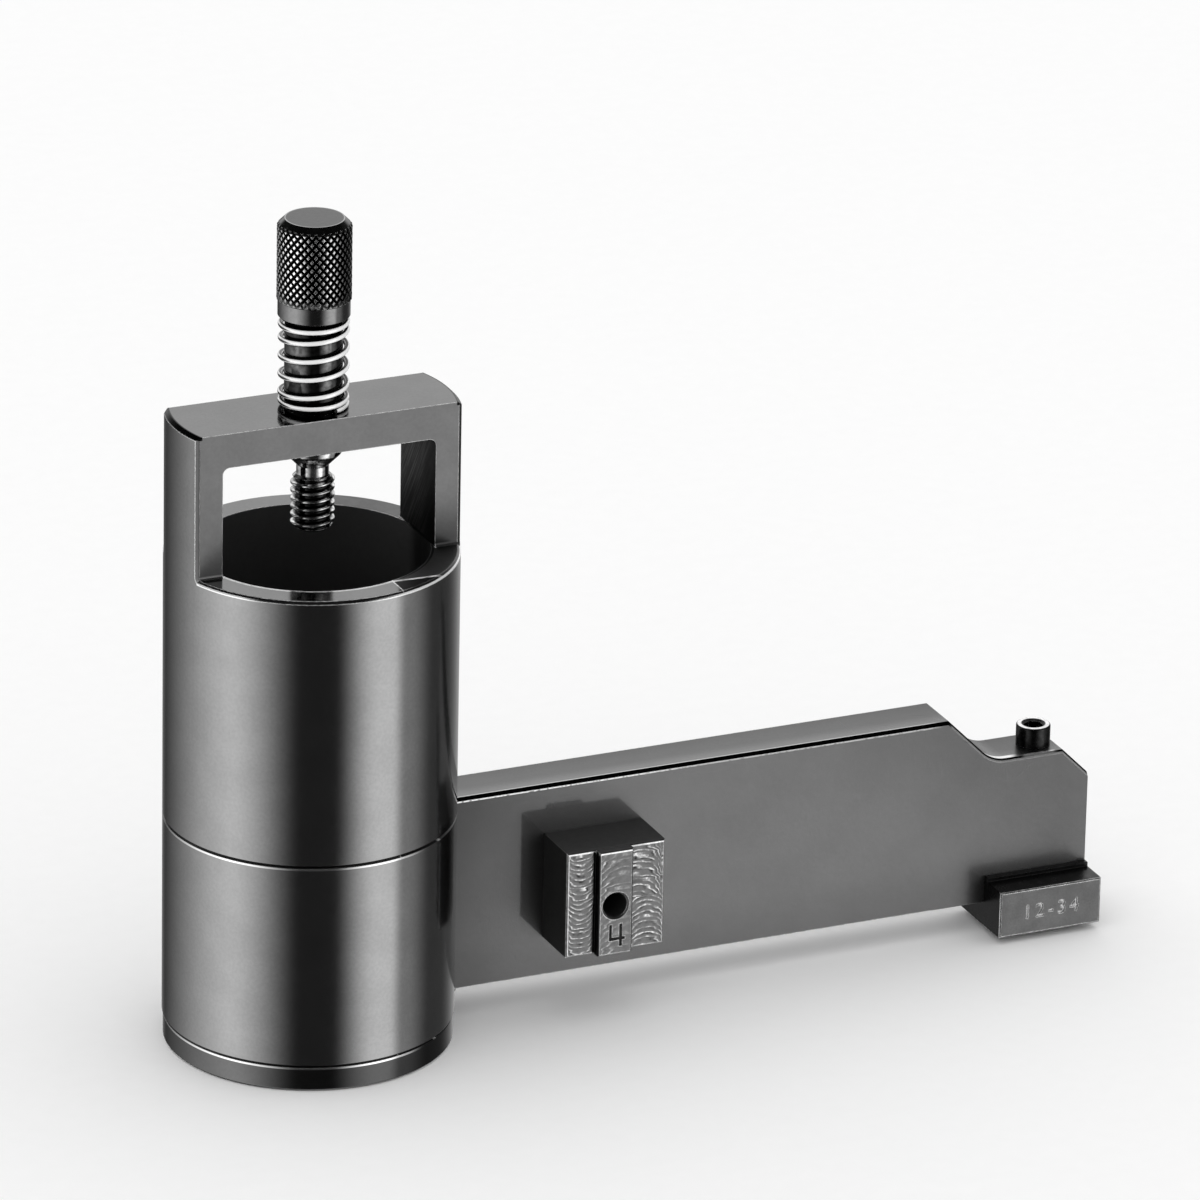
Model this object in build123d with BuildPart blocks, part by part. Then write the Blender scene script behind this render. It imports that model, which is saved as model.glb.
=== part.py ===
"""Balancer shaft alignment tool: a bridge-topped barrel with a sprung plunger screw, and a gauge arm.

Frame: millimetres, +Z up along the barrel's axis, origin where that axis meets the base.
The arm runs along +X. The gauge faces look towards -Y.
"""
from build123d import *
from math import cos, pi, radians, sin
import os

os.makedirs("parts", exist_ok=True)

# Barrel
barrel_od = 63.5
barrel_wall = 6.35
base_height = 5.9
seam_height = 52.4
rim_height = 113.2
bridge_rise = 32.4
bridge_depth = 19.0
bridge_top_chamfer = 0.9
rim_chamfer = 0.65
foot_fillet = 0.8
seam_chamfer = 0.35
leg_thickness = 7.35
window_rise = 24.7
window_fillet = 1.6

# Spigot joints between the three barrel pieces
spigot_inset = 3.25
spigot_length = 12.0
spigot_lead = 0.8
spigot_end_gap = 0.3
base_inset = 0.25
base_lip = 3.15
base_spigot_length = 8.0
base_edge_chamfer = 0.6
seam_dowel_d = 2.0
seam_dowel_length = 10.0

# Plunger screw
knob_d = 16.0
knob_length = 22.0
knob_chamfer = 1.6
knob_band_d = 15.5
knob_band_length = 3.9
knob_edge_chamfer = 0.5
shank_d = 12.5
shank_below_bridge = 2.65
shank_clearance = 0.05
neck_d = 7.0
neck_end_drop = 7.5
thread_d = 9.5
thread_length = 12.4
thread_tip_chamfer = 1.2

# Spring, wound to the right, with both ends closed
wire_d = 1.2
spring_od = 15.3
spring_length = 20.2
spring_start_deg = -69.4
end_pitch = 1.25
open_pitch = 4.25
lower_end_turns = 1.0
lower_ramp_turns = 0.9
upper_ramp_start = 4.9
upper_ramp_turns = 0.8
spring_turns = 6.5
steps_per_turn = 16
wire_sides = 8

# Retaining ring under the bridge
ring_od = 14.6
ring_thickness = 1.0
ring_mouth = 4.0
groove_depth = 0.7
groove_clearance = 0.05

# Arm, as tall as the collar but for a small step at each seam
arm_thickness = 12.5
arm_offset = 0.7
arm_top_step = 0.4
arm_bottom_step = 1.2
arm_reach = 185.3
arm_edge_chamfer = 0.7
notch_length = 34.8
notch_depth = 11.1
notch_fillet = 8.0
arm_corner = 6.3
arm_root_gap = 0.02
weld_out = 2.2
weld_down = 1.1
weld_side = 1.0

# Gauge block on the arm's front face
gauge_from_barrel = 32.8
gauge_width = 23.2
gauge_height = 24.6
gauge_depth = 12.6
gauge_above_arm_foot = 9.05
rib_width = 8.1
rib_rise = 2.0
rib_offset = 0.8
gauge_hole_d = 5.7
gauge_hole_drop = 0.75
gauge_hole_depth = 11.0
gauge_hole_chamfer = 0.4
edge_break = 0.3

# Screws and dowels behind the gauge block
gauge_screw_d = 4.0
gauge_head_d = 7.0
gauge_head_h = 4.0
gauge_screw_hex = 3.0
gauge_fastener_spread = 7.5
gauge_screw_grip = 7.0
gauge_dowel_d = 4.0
gauge_dowel_grip = 7.0

# End block under the arm's far corner
end_width = 24.9
end_drop = 5.4
end_front_depth = 8.5
end_front_rise = 5.4
end_lip_depth = 1.6
end_lip_rise = 1.0

# Cap screw that holds the end block
end_screw_setback = 10.9
end_screw_d = 4.8
end_head_d = 7.7
end_head_h = 4.85
end_screw_hex = 4.0
end_screw_tip_gap = 0.6

# Clearances
press_fit = 0.01
thread_fit = 0.02
screw_hole_gap = 0.2
head_gap = 0.2
blind_end_gap = 0.6
head_chamfer = 0.4
socket_depth_share = 0.55

# Places worked out from the sizes above
barrel_r = barrel_od / 2
bore_r = barrel_r - barrel_wall
spigot_r = barrel_r - spigot_inset
socket_r = spigot_r + press_fit
base_r = barrel_r - base_inset
pilot_r = bore_r - base_lip
seam_dowel_r = (spigot_r + barrel_r) / 2
bridge_top = rim_height + bridge_rise
window_top = rim_height + window_rise
shank_r = shank_d / 2
groove_r = shank_r - groove_depth
ring_bottom = window_top - ring_thickness
knob_bottom = bridge_top + spring_length
knob_top = knob_bottom + knob_length
arm_foot = base_height + arm_bottom_step
arm_top = seam_height - arm_top_step
arm_front = arm_offset - arm_thickness / 2
arm_back = arm_offset + arm_thickness / 2
notch_floor = arm_top - notch_depth
gauge_x = barrel_r + gauge_from_barrel
gauge_face = arm_front - gauge_depth
gauge_mid_z = arm_foot + gauge_above_arm_foot + gauge_height / 2
end_x0 = arm_reach - end_width
end_bottom = arm_foot - end_drop
end_screw_x = arm_reach - end_screw_setback


def near(value, target):
    """True where two lengths agree closely enough to pick an edge by its place."""
    return abs(value - target) < 0.01


# Upper barrel body, with the bridge milled out of its top end
spigot_foot = seam_height - spigot_length

with BuildPart() as upper_body:
    with BuildSketch(Plane.XZ):
        with BuildLine():
            Polyline(
                (bore_r, spigot_foot),
                (spigot_r - spigot_lead, spigot_foot),
                (spigot_r, spigot_foot + spigot_lead),
                (spigot_r, seam_height),
                (barrel_r - seam_chamfer, seam_height),
                (barrel_r, seam_height + seam_chamfer),
                (barrel_r, bridge_top - bridge_top_chamfer),
                (barrel_r - bridge_top_chamfer, bridge_top),
                (0, bridge_top),
                (0, rim_height),
                (bore_r, rim_height),
                close=True,
            )
        make_face()
    revolve(axis=Axis.Z)
    # The front and back flats, with the cutter's corner radius left at their feet
    with BuildSketch(Plane.YZ):
        for side in (1, -1):
            with Locations((side * (bridge_depth / 2 + barrel_r), rim_height + barrel_r)):
                Rectangle(barrel_od, barrel_od)
        feet = vertices().filter_by(lambda v: near(abs(v.X), bridge_depth / 2) and near(v.Y, rim_height))
        fillet(feet, foot_fillet)
    extrude(amount=barrel_od, both=True, mode=Mode.SUBTRACT)
    # The window under the bridge, cut straight through from front to back
    with BuildSketch(Plane.XZ):
        with Locations((0, rim_height + window_rise / 2)):
            Rectangle(barrel_od - 2 * leg_thickness, window_rise)
        fillet(vertices().group_by(Axis.Y)[-1], window_fillet)
    extrude(amount=barrel_od, both=True, mode=Mode.SUBTRACT)
    rim = edges().filter_by(GeomType.CIRCLE).filter_by(
        lambda e: near(e.radius, barrel_r) and near(e.center().Z, rim_height)
    )
    chamfer(rim, rim_chamfer)
    # The plunger's bore through the bridge
    with Locations((0, 0, bridge_top)):
        Hole(shank_r + shank_clearance, depth=bridge_rise)
    # Blind holes for the two seam dowels
    with BuildSketch(Plane.XY.offset(seam_height)):
        with PolarLocations(seam_dowel_r, 2, start_angle=90):
            Circle(seam_dowel_d / 2 + press_fit)
    extrude(amount=seam_dowel_length / 2 + spigot_end_gap, mode=Mode.SUBTRACT)
upper_body.part.label = "upper_body"
export_step(upper_body.part, "parts/upper_body.step")


# Arm collar: the lower sleeve, open at both ends for a spigot
base_socket_top = base_height + base_spigot_length + spigot_end_gap
seam_socket_foot = spigot_foot - spigot_end_gap

with BuildPart() as arm_collar:
    with BuildSketch(Plane.XZ):
        with BuildLine():
            Polyline(
                (socket_r, base_height),
                (barrel_r - seam_chamfer, base_height),
                (barrel_r, base_height + seam_chamfer),
                (barrel_r, seam_height - seam_chamfer),
                (barrel_r - seam_chamfer, seam_height),
                (socket_r, seam_height),
                (socket_r, seam_socket_foot),
                (bore_r, seam_socket_foot),
                (bore_r, base_socket_top),
                (socket_r, base_socket_top),
                close=True,
            )
        make_face()
    revolve(axis=Axis.Z)
    with BuildSketch(Plane.XY.offset(seam_height)):
        with PolarLocations(seam_dowel_r, 2, start_angle=90):
            Circle(seam_dowel_d / 2 + press_fit)
    extrude(amount=-(seam_dowel_length / 2 + spigot_end_gap), mode=Mode.SUBTRACT)
arm_collar.part.label = "arm_collar"
export_step(arm_collar.part, "parts/arm_collar.step")


# Base ring: the pilot bore and bottom face, held in the collar by its spigot
with BuildPart() as base_ring:
    with BuildSketch(Plane.XZ):
        with BuildLine():
            Polyline(
                (pilot_r, 0),
                (base_r - base_edge_chamfer, 0),
                (base_r, base_edge_chamfer),
                (base_r, base_height - seam_chamfer),
                (base_r - seam_chamfer, base_height),
                (spigot_r, base_height),
                (spigot_r, base_height + base_spigot_length - spigot_lead),
                (spigot_r - spigot_lead, base_height + base_spigot_length),
                (pilot_r, base_height + base_spigot_length),
                close=True,
            )
        make_face()
    revolve(axis=Axis.Z)
base_ring.part.label = "base_ring"
export_step(base_ring.part, "parts/base_ring.step")


# Two dowels that hold the collar, and so the arm, square to the bridge
with BuildPart() as seam_dowels:
    with BuildSketch(Plane.XY.offset(seam_height - seam_dowel_length / 2)):
        with PolarLocations(seam_dowel_r, 2, start_angle=90):
            Circle(seam_dowel_d / 2)
    extrude(amount=seam_dowel_length)
seam_dowels.part.label = "seam_dowels"
export_step(seam_dowels.part, "parts/seam_dowels.step")


# Plunger screw: knob, shank, ring groove, neck and threaded tip, turned in one piece
shank_end = window_top - shank_below_bridge
neck_start = shank_end - (shank_d - neck_d) / 2
neck_end = window_top - neck_end_drop
thread_tip = neck_end - thread_length
groove_top = window_top + groove_clearance
groove_bottom = ring_bottom - groove_clearance
band_top = knob_bottom + knob_band_length

with BuildPart() as plunger_screw:
    with BuildSketch(Plane.XZ):
        with BuildLine():
            Polyline(
                (0, thread_tip),
                (thread_d / 2 - thread_tip_chamfer, thread_tip),
                (thread_d / 2, thread_tip + thread_tip_chamfer),
                (thread_d / 2, neck_end - (thread_d - neck_d) / 2),
                (neck_d / 2, neck_end),
                (neck_d / 2, neck_start),
                (shank_r, shank_end),
                (shank_r, groove_bottom),
                (groove_r, groove_bottom),
                (groove_r, groove_top),
                (shank_r, groove_top),
                (shank_r, knob_bottom),
                (knob_band_d / 2 - knob_edge_chamfer, knob_bottom),
                (knob_band_d / 2, knob_bottom + knob_edge_chamfer),
                (knob_band_d / 2, band_top),
                (knob_d / 2, band_top + (knob_d - knob_band_d) / 2),
                (knob_d / 2, knob_top - knob_chamfer),
                (knob_d / 2 - knob_chamfer, knob_top),
                (0, knob_top),
                close=True,
            )
        make_face()
    revolve(axis=Axis.Z)
plunger_screw.part.label = "plunger_screw"
export_step(plunger_screw.part, "parts/plunger_screw.step")


# Compression spring between the bridge and the knob. Its wire has flat sides to keep the mesh light.
coil_r = (spring_od - wire_d) / 2


def coil_pitch(turn):
    """Rise per turn: closed at both ends, open between, with a straight ramp at each change."""
    opening = min(max((turn - lower_end_turns) / lower_ramp_turns, 0), 1)
    closing = min(max((turn - upper_ramp_start) / upper_ramp_turns, 0), 1)
    return end_pitch + (open_pitch - end_pitch) * min(opening, 1 - closing)


coil_steps = round(spring_turns * steps_per_turn)
coil_rises = [coil_pitch((step + 0.5) / steps_per_turn) / steps_per_turn for step in range(coil_steps)]
rise_scale = (spring_length - wire_d) / sum(coil_rises)
coil_points = []
for step in range(coil_steps + 1):
    turn_angle = radians(spring_start_deg) + 2 * pi * step / steps_per_turn
    coil_z = bridge_top + wire_d / 2 + rise_scale * sum(coil_rises[:step])
    coil_points.append((coil_r * cos(turn_angle), coil_r * sin(turn_angle), coil_z))

with BuildPart() as spring:
    with BuildLine() as coil:
        Spline(*coil_points)
    with BuildSketch(Plane(origin=coil.line @ 0, z_dir=coil.line % 0)):
        RegularPolygon(wire_d / 2, wire_sides)
    sweep(path=coil.line)
spring.part.label = "spring"
export_step(spring.part, "parts/spring.step")


# Open retaining ring in the shank's groove, under the bridge
with BuildPart() as retaining_ring:
    with BuildSketch(Plane.XY.offset(ring_bottom)):
        Circle(ring_od / 2)
        Circle(groove_r + groove_clearance, mode=Mode.SUBTRACT)
        with Locations((0, ring_od / 2)):
            Rectangle(ring_mouth, ring_od, mode=Mode.SUBTRACT)
    extrude(amount=ring_thickness)
retaining_ring.part.label = "retaining_ring"
export_step(retaining_ring.part, "parts/retaining_ring.step")


# Arm: a flat bar with a saddle root, and a notch for the cap screw near its far end
notch_x0 = arm_reach - notch_length
notch_x1 = arm_reach - arm_corner
gauge_fasteners_x = (gauge_x - gauge_fastener_spread, gauge_x + gauge_fastener_spread)
gauge_fasteners_z = (gauge_mid_z + gauge_fastener_spread, gauge_mid_z - gauge_fastener_spread)
gauge_screw_places = list(zip(gauge_fasteners_x, gauge_fasteners_z))
gauge_dowel_places = list(zip(gauge_fasteners_x, reversed(gauge_fasteners_z)))

with BuildPart() as arm:
    with BuildSketch(Plane.XZ.offset(-arm_offset)):
        with BuildLine():
            Polyline(
                (0, arm_foot),
                (arm_reach, arm_foot),
                (arm_reach, notch_floor - arm_corner),
                (notch_x1, notch_floor),
                (notch_x0 + notch_depth, notch_floor),
                (notch_x0, arm_top),
                (0, arm_top),
                close=True,
            )
        make_face()
        fillet(vertices().filter_by(lambda v: near(v.X, notch_x0 + notch_depth)), notch_fillet)
    extrude(amount=arm_thickness / 2, both=True)
    outline = edges().filter_by(
        lambda e: near(abs(e.center().Y - arm_offset), arm_thickness / 2)
        and e.center().Z > notch_floor - arm_corner
    )
    chamfer(outline.filter_by(lambda e: not near(e.center().X, arm_reach)), arm_edge_chamfer)
    Cylinder(
        barrel_r + arm_root_gap,
        bridge_top,
        align=(Align.CENTER, Align.CENTER, Align.MIN),
        mode=Mode.SUBTRACT,
    )
    # Clearance hole for the end block's cap screw
    with Locations((end_screw_x, arm_offset, notch_floor)):
        Hole(end_screw_d / 2 + screw_hole_gap, depth=notch_floor - arm_foot)
    # Counterbored holes from the back for the gauge block's screws
    with BuildSketch(Plane.XZ.offset(-arm_back)):
        with Locations(*gauge_screw_places):
            Circle(gauge_head_d / 2 + head_gap)
    extrude(amount=gauge_head_h + head_gap, mode=Mode.SUBTRACT)
    with BuildSketch(Plane.XZ.offset(-arm_back)):
        with Locations(*gauge_screw_places):
            Circle(gauge_screw_d / 2 + screw_hole_gap)
    extrude(amount=arm_thickness, mode=Mode.SUBTRACT)
    with BuildSketch(Plane.XZ.offset(-arm_front)):
        with Locations(*gauge_dowel_places):
            Circle(gauge_dowel_d / 2 + press_fit)
    extrude(amount=-(gauge_dowel_grip + blind_end_gap), mode=Mode.SUBTRACT)
arm.part.label = "arm"
export_step(arm.part, "parts/arm.step")


# Weld bead round the arm's root: along its bottom and up both sides
with BuildPart() as arm_weld:
    with BuildSketch(Plane.XZ.offset(-arm_offset)):
        with BuildLine():
            Polyline(
                (spigot_r, arm_foot - weld_down),
                (barrel_r, arm_foot - weld_down),
                (barrel_r + weld_out, arm_foot),
                (spigot_r, arm_foot),
                close=True,
            )
        make_face()
    extrude(amount=arm_thickness / 2 + weld_side, both=True)
    with BuildSketch(Plane.XY.offset(arm_foot - weld_down)):
        with BuildLine():
            Polyline(
                (spigot_r, arm_back + weld_side),
                (barrel_r - weld_side, arm_back + weld_side),
                (barrel_r + weld_side, arm_back),
                (barrel_r + weld_side, arm_front),
                (barrel_r - weld_side, arm_front - weld_side),
                (spigot_r, arm_front - weld_side),
                close=True,
            )
        make_face()
    extrude(amount=arm_top - arm_edge_chamfer - arm_foot + weld_down)
    Cylinder(
        barrel_r,
        bridge_top,
        align=(Align.CENTER, Align.CENTER, Align.MIN),
        mode=Mode.SUBTRACT,
    )
    with Locations((barrel_od, arm_offset, arm_foot)):
        Box(
            barrel_od * 2,
            arm_thickness,
            bridge_top,
            align=(Align.CENTER, Align.CENTER, Align.MIN),
            mode=Mode.SUBTRACT,
        )
arm_weld.part.label = "arm_weld"
export_step(arm_weld.part, "parts/arm_weld.step")


# Gauge block: two lands with a proud rib between them, and a centre hole in the rib
rib_x = gauge_x - rib_offset
rib_face = gauge_face - rib_rise
hole_z = gauge_mid_z - gauge_hole_drop

with BuildPart() as gauge_block:
    with Locations((gauge_x, arm_front, gauge_mid_z)):
        Box(gauge_width, gauge_depth, gauge_height, align=(Align.CENTER, Align.MAX, Align.CENTER))
    chamfer(edges().filter_by(lambda e: near(e.center().Y, gauge_face)), edge_break)
    with Locations((rib_x, gauge_face, gauge_mid_z)):
        Box(rib_width, rib_rise, gauge_height, align=(Align.CENTER, Align.MAX, Align.CENTER))
    chamfer(edges().filter_by(lambda e: near(e.center().Y, rib_face)), edge_break)
    with BuildSketch(Plane.XZ.offset(-rib_face)):
        with Locations((rib_x, hole_z)):
            Circle(gauge_hole_d / 2)
    extrude(amount=-gauge_hole_depth, mode=Mode.SUBTRACT)
    mouth = edges().filter_by(GeomType.CIRCLE).filter_by(lambda e: near(e.center().Y, rib_face))
    chamfer(mouth, gauge_hole_chamfer)
    with BuildSketch(Plane.XZ.offset(-arm_front)):
        with Locations(*gauge_screw_places):
            Circle(gauge_screw_d / 2 + thread_fit)
        with Locations(*gauge_dowel_places):
            Circle(gauge_dowel_d / 2 + press_fit)
    extrude(amount=gauge_screw_grip + blind_end_gap, mode=Mode.SUBTRACT)
gauge_block.part.label = "gauge_block"
export_step(gauge_block.part, "parts/gauge_block.step")


# Two socket screws that hold the gauge block from the arm's back
gauge_head_seat = arm_back - gauge_head_h - head_gap

with BuildPart() as gauge_block_screws:
    with BuildSketch(Plane.XZ.offset(-gauge_head_seat)):
        with Locations(*gauge_screw_places):
            Circle(gauge_head_d / 2)
    extrude(amount=-gauge_head_h)
    tops = edges().filter_by(lambda e: near(e.center().Y, gauge_head_seat + gauge_head_h))
    chamfer(tops, head_chamfer)
    with BuildSketch(Plane.XZ.offset(-gauge_head_seat - gauge_head_h)):
        with Locations(*gauge_screw_places):
            RegularPolygon(gauge_screw_hex / 2, 6, major_radius=False)
    extrude(amount=gauge_head_h * socket_depth_share, mode=Mode.SUBTRACT)
    with BuildSketch(Plane.XZ.offset(-gauge_head_seat)):
        with Locations(*gauge_screw_places):
            Circle(gauge_screw_d / 2)
    extrude(amount=gauge_head_seat - arm_front + gauge_screw_grip)
gauge_block_screws.part.label = "gauge_block_screws"
export_step(gauge_block_screws.part, "parts/gauge_block_screws.step")


# Two dowels that set the gauge block's place on the arm
with BuildPart() as gauge_block_dowels:
    with BuildSketch(Plane.XZ.offset(-arm_front)):
        with Locations(*gauge_dowel_places):
            Circle(gauge_dowel_d / 2)
    extrude(amount=gauge_dowel_grip, both=True)
gauge_block_dowels.part.label = "gauge_block_dowels"
export_step(gauge_block_dowels.part, "parts/gauge_block_dowels.step")


# End block: an angle that wraps the arm's lower edge, with a lip against the arm's face
end_front = arm_front - end_front_depth
end_ledge = arm_foot + end_front_rise

with BuildPart() as end_block:
    with BuildSketch(Plane.YZ.offset(end_x0)):
        with BuildLine():
            Polyline(
                (end_front, end_bottom),
                (arm_back, end_bottom),
                (arm_back, arm_foot),
                (arm_front, arm_foot),
                (arm_front, end_ledge + end_lip_rise),
                (arm_front - end_lip_depth, end_ledge + end_lip_rise),
                (arm_front - end_lip_depth, end_ledge),
                (end_front, end_ledge),
                close=True,
            )
        make_face()
    extrude(amount=end_width)
    chamfer(edges().filter_by(lambda e: near(e.center().Y, end_front)), edge_break)
    with Locations((end_screw_x, arm_offset, arm_foot)):
        Hole(end_screw_d / 2 + thread_fit, depth=end_drop)
end_block.part.label = "end_block"
export_step(end_block.part, "parts/end_block.step")


# Cap screw down through the notch into the end block
with BuildPart() as end_block_screw:
    with BuildSketch(Plane.XY.offset(notch_floor)):
        with Locations((end_screw_x, arm_offset)):
            Circle(end_head_d / 2)
    extrude(amount=end_head_h)
    chamfer(edges().filter_by(lambda e: near(e.center().Z, notch_floor + end_head_h)), head_chamfer)
    with BuildSketch(Plane.XY.offset(notch_floor + end_head_h)):
        with Locations((end_screw_x, arm_offset)):
            RegularPolygon(end_screw_hex / 2, 6, major_radius=False)
    extrude(amount=-end_head_h * socket_depth_share, mode=Mode.SUBTRACT)
    with BuildSketch(Plane.XY.offset(notch_floor)):
        with Locations((end_screw_x, arm_offset)):
            Circle(end_screw_d / 2)
    extrude(amount=-(notch_floor - end_bottom - end_screw_tip_gap))
end_block_screw.part.label = "end_block_screw"
export_step(end_block_screw.part, "parts/end_block_screw.step")
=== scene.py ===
"""Balancer shaft alignment tool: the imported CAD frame, dressed and lit as a studio photograph.

Every length below is in millimetres and is scaled to Blender's metres where a mesh is made.
"""

from math import cos, floor, pi, radians, sin, sqrt, tau

import bmesh
import bpy
from mathutils import Matrix, Vector


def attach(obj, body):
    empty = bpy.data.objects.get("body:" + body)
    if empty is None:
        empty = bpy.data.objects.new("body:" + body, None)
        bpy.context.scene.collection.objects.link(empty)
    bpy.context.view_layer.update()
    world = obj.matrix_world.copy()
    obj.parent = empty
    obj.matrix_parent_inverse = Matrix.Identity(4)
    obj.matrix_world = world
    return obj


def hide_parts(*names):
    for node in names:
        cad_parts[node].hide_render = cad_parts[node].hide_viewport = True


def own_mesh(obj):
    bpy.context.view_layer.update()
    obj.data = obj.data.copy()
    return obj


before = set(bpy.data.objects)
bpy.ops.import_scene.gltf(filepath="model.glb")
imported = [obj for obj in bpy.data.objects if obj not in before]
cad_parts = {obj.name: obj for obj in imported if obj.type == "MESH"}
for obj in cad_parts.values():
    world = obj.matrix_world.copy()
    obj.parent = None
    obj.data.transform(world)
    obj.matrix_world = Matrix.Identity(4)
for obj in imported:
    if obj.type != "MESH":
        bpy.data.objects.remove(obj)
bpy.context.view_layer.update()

MM = 0.001

# Camera, fitted to the photograph
CAMERA_PLACE = (-0.76733, -1.83732, 0.90240)
CAMERA_AZIMUTH = -24.44
CAMERA_ELEVATION = 21.9
CAMERA_ROLL = 1.16
CAMERA_LENS = 301.39
CAMERA_SENSOR = 36.0
CAMERA_REACH = 20.0

# Brightness of the two soft boxes in polished steel, where 1 is white, and their share above eye level
BOX_LIGHT = 1.55
UPPER_LIGHT = 0.8

# Places and sizes that repeat the part's own
BARREL_R = 31.75
BORE_R = 25.4
BRIDGE_HALF = 9.5
SHELF_STEP_START = 8.4
SHELF_STEP_Y = -24.1
SHELF_STEP_SLOPE = -0.04
BRIDGE_TOP = 145.6
RIM_Z = 113.2
SEAM_Z = 52.4
BASE_Z = 5.9
ARM_FRONT = -5.55
ARM_BACK = 6.95
ARM_FOOT = 7.1
ARM_TOP = 52.0
ARM_CHAMFER = 0.7
ARM_EDGE_Y = ARM_FRONT + ARM_CHAMFER
ARM_NOTCH_X = 150.5
GAUGE_LEFT = 52.95
GAUGE_FACE = -18.15
GAUGE_TOP = 40.75
RIB_X = 63.75
RIB_HALF = 4.05
RIB_FACE = -20.15
END_FRONT = -14.05

# Abraded edges are painted pale and partly diffuse, so that they also show as a painted edge highlight. An
# edge starts, and is full, where the cosine between the rounded normal and the true one falls to these.
EDGE_METALLIC = 0.5
EDGE_ROUGH = 0.3
EDGE_COSINES = (0.999, 0.95)
EDGE_SAMPLES = 6

# Tones of painted shade and of dark joints, and the depth of a fine polish in mm
BLACK = 0.004
NEAR_BLACK = 0.006
FINE_POLISH = 0.0006
PEEL_FINE = 2.2
PEEL_WIDE = 0.35
PEEL_WIDE_SHARE = 3.0

# Where clouds of noise, the edges of a band and the masks of a surface's direction start and are full
CLOUDY = (0.3, 0.7)
BAND_SOFT = 0.05
UPRIGHT = (0.7, 0.4)
SIDEWAYS = (0.7, 0.9)
LEVEL = (0.6, 0.8)
TOWARDS_FRONT = (-0.7, -0.9)

# Plunger screw
KNOB_BOTTOM = 165.8
KNOB_TOP = 187.8
KNOB_R = 8.0
KNOB_CHAMFER = 1.6
KNOB_SHOULDER = KNOB_TOP - KNOB_CHAMFER
BAND_R = 7.75
BAND_TOP = 169.7
BAND_EDGE = 0.5
SHANK_R = 6.25
SHANK_END = 135.25
GROOVE_TOP = 137.95
GROOVE_BOTTOM = 136.85
GROOVE_R = 5.55
NECK_R = 3.5
NECK_START = 132.5
NECK_END = 130.4
THREAD_R = 4.75
THREAD_TIP = 118.0
THREAD_TIP_CHAMFER = 1.2
THREAD_PITCH = 1.8
THREAD_PHASE = 0.29
THREAD_DEPTH = 1.0
THREAD_CREST = 0.16
THREAD_ROWS = 150
SHANK_COLUMNS = 96

# Diamond knurl
KNURL_STARTS = 31
KNURL_STEPS = 8
KNURL_DEPTH = 0.5
KNURL_FLAT = 0.53
KNURL_FIRST = 169.95
KNURL_ROWS = 75
KNURL_FADE = 1.9
KNURL_RUN_IN = 0.4

# Spring, with the part's own pitch law
SPRING_TOP = 165.8
WIRE_R = 0.6
COIL_R = 7.05
SPRING_START = -69.4
END_PITCH = 1.25
OPEN_PITCH = 4.25
LOWER_END_TURNS = 1.0
LOWER_RAMP = 0.9
UPPER_RAMP_START = 4.9
UPPER_RAMP = 0.8
SPRING_TURNS = 6.5
SPRING_STEPS = 48
WIRE_SIDES = 20
WIRE_END_SHARE = 0.8

# Weld bead at the arm's root
WELD_ROWS = 23
WELD_STEP = 2.0
WELD_PARTS = 4
WELD_SPAN = 3
WELD_SIDES = 12
WELD_R = 1.0
WELD_HAIRLINE = 0.3
WELD_OUT = 0.25
WELD_DROP = 0.1
WELD_RIPPLES = ((0.10, 5.0), (0.04, 17.0))

# Stamped marks. A stroke holds X and Z of its two corners. Points closer than a weld's distance are joined.
STAMP_DEPTH = 0.3
STAMP_CLEAR = 1.0
BLOCK_WELD = 0.0001
NUMBER_WELD = 0.001
GAUGE_NUMBER_STROKES = ((64.7, 18.0, 65.45, 23.3), (62.3, 19.5, 66.1, 20.2), (62.3, 19.9, 63.0, 23.3))
END_NUMBERS = "12-34"
END_NUMBERS_SIZE = 4.6
END_NUMBERS_SPACING = 1.35
END_NUMBERS_PLACE = (173.0, END_FRONT, 6.9)

# Socket screws: place of the head's seat, then the head's radius and height with its socket's flats and
# depth, then the shank's radius and length
END_SCREW_SEAT = (174.4, 0.7, 40.9)
END_HEAD = (3.85, 4.85, 4.0, 2.67)
END_SHANK = (2.4, 38.6)
BLOCK_SCREW_SEATS = ((57.05, 2.75, 35.95), (72.05, 2.75, 20.95))
BLOCK_HEAD = (3.5, 4.0, 3.0, 2.2)
BLOCK_SHANK = (2.0, 15.3)
SCREW_COLUMNS = 72
SCREW_TIP = 0.5
SCREW_SEAT_EDGE = 0.15
SCREW_RIM = 0.45
SCREW_RIM_STEPS = 6
SCREW_MOUTH_SHARE = 0.66
SCREW_MOUTH_BEVEL = 0.06

# Floor
FLOOR_REACH = 4000.0
FLOOR_GRAIN = 220.0
FLOOR_TONES = (0.972, 0.984)

# Faces that meet at a sharper angle than this show an edge
SHARP_DEGREES = 30.0


# Meshes


def new_piece(name, points, faces, material, sharp=SHARP_DEGREES):
    """A mesh object, smooth but for edges sharper than the given angle in degrees."""
    mesh = bpy.data.meshes.new(name)
    mesh.from_pydata([Vector(point) * MM for point in points], [], faces)
    mesh.validate()
    mesh.polygons.foreach_set("use_smooth", [True] * len(mesh.polygons))
    mesh.set_sharp_from_angle(angle=radians(sharp))
    piece = bpy.data.objects.new(name, mesh)
    bpy.context.scene.collection.objects.link(piece)
    mesh.materials.append(material)
    return piece


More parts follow.
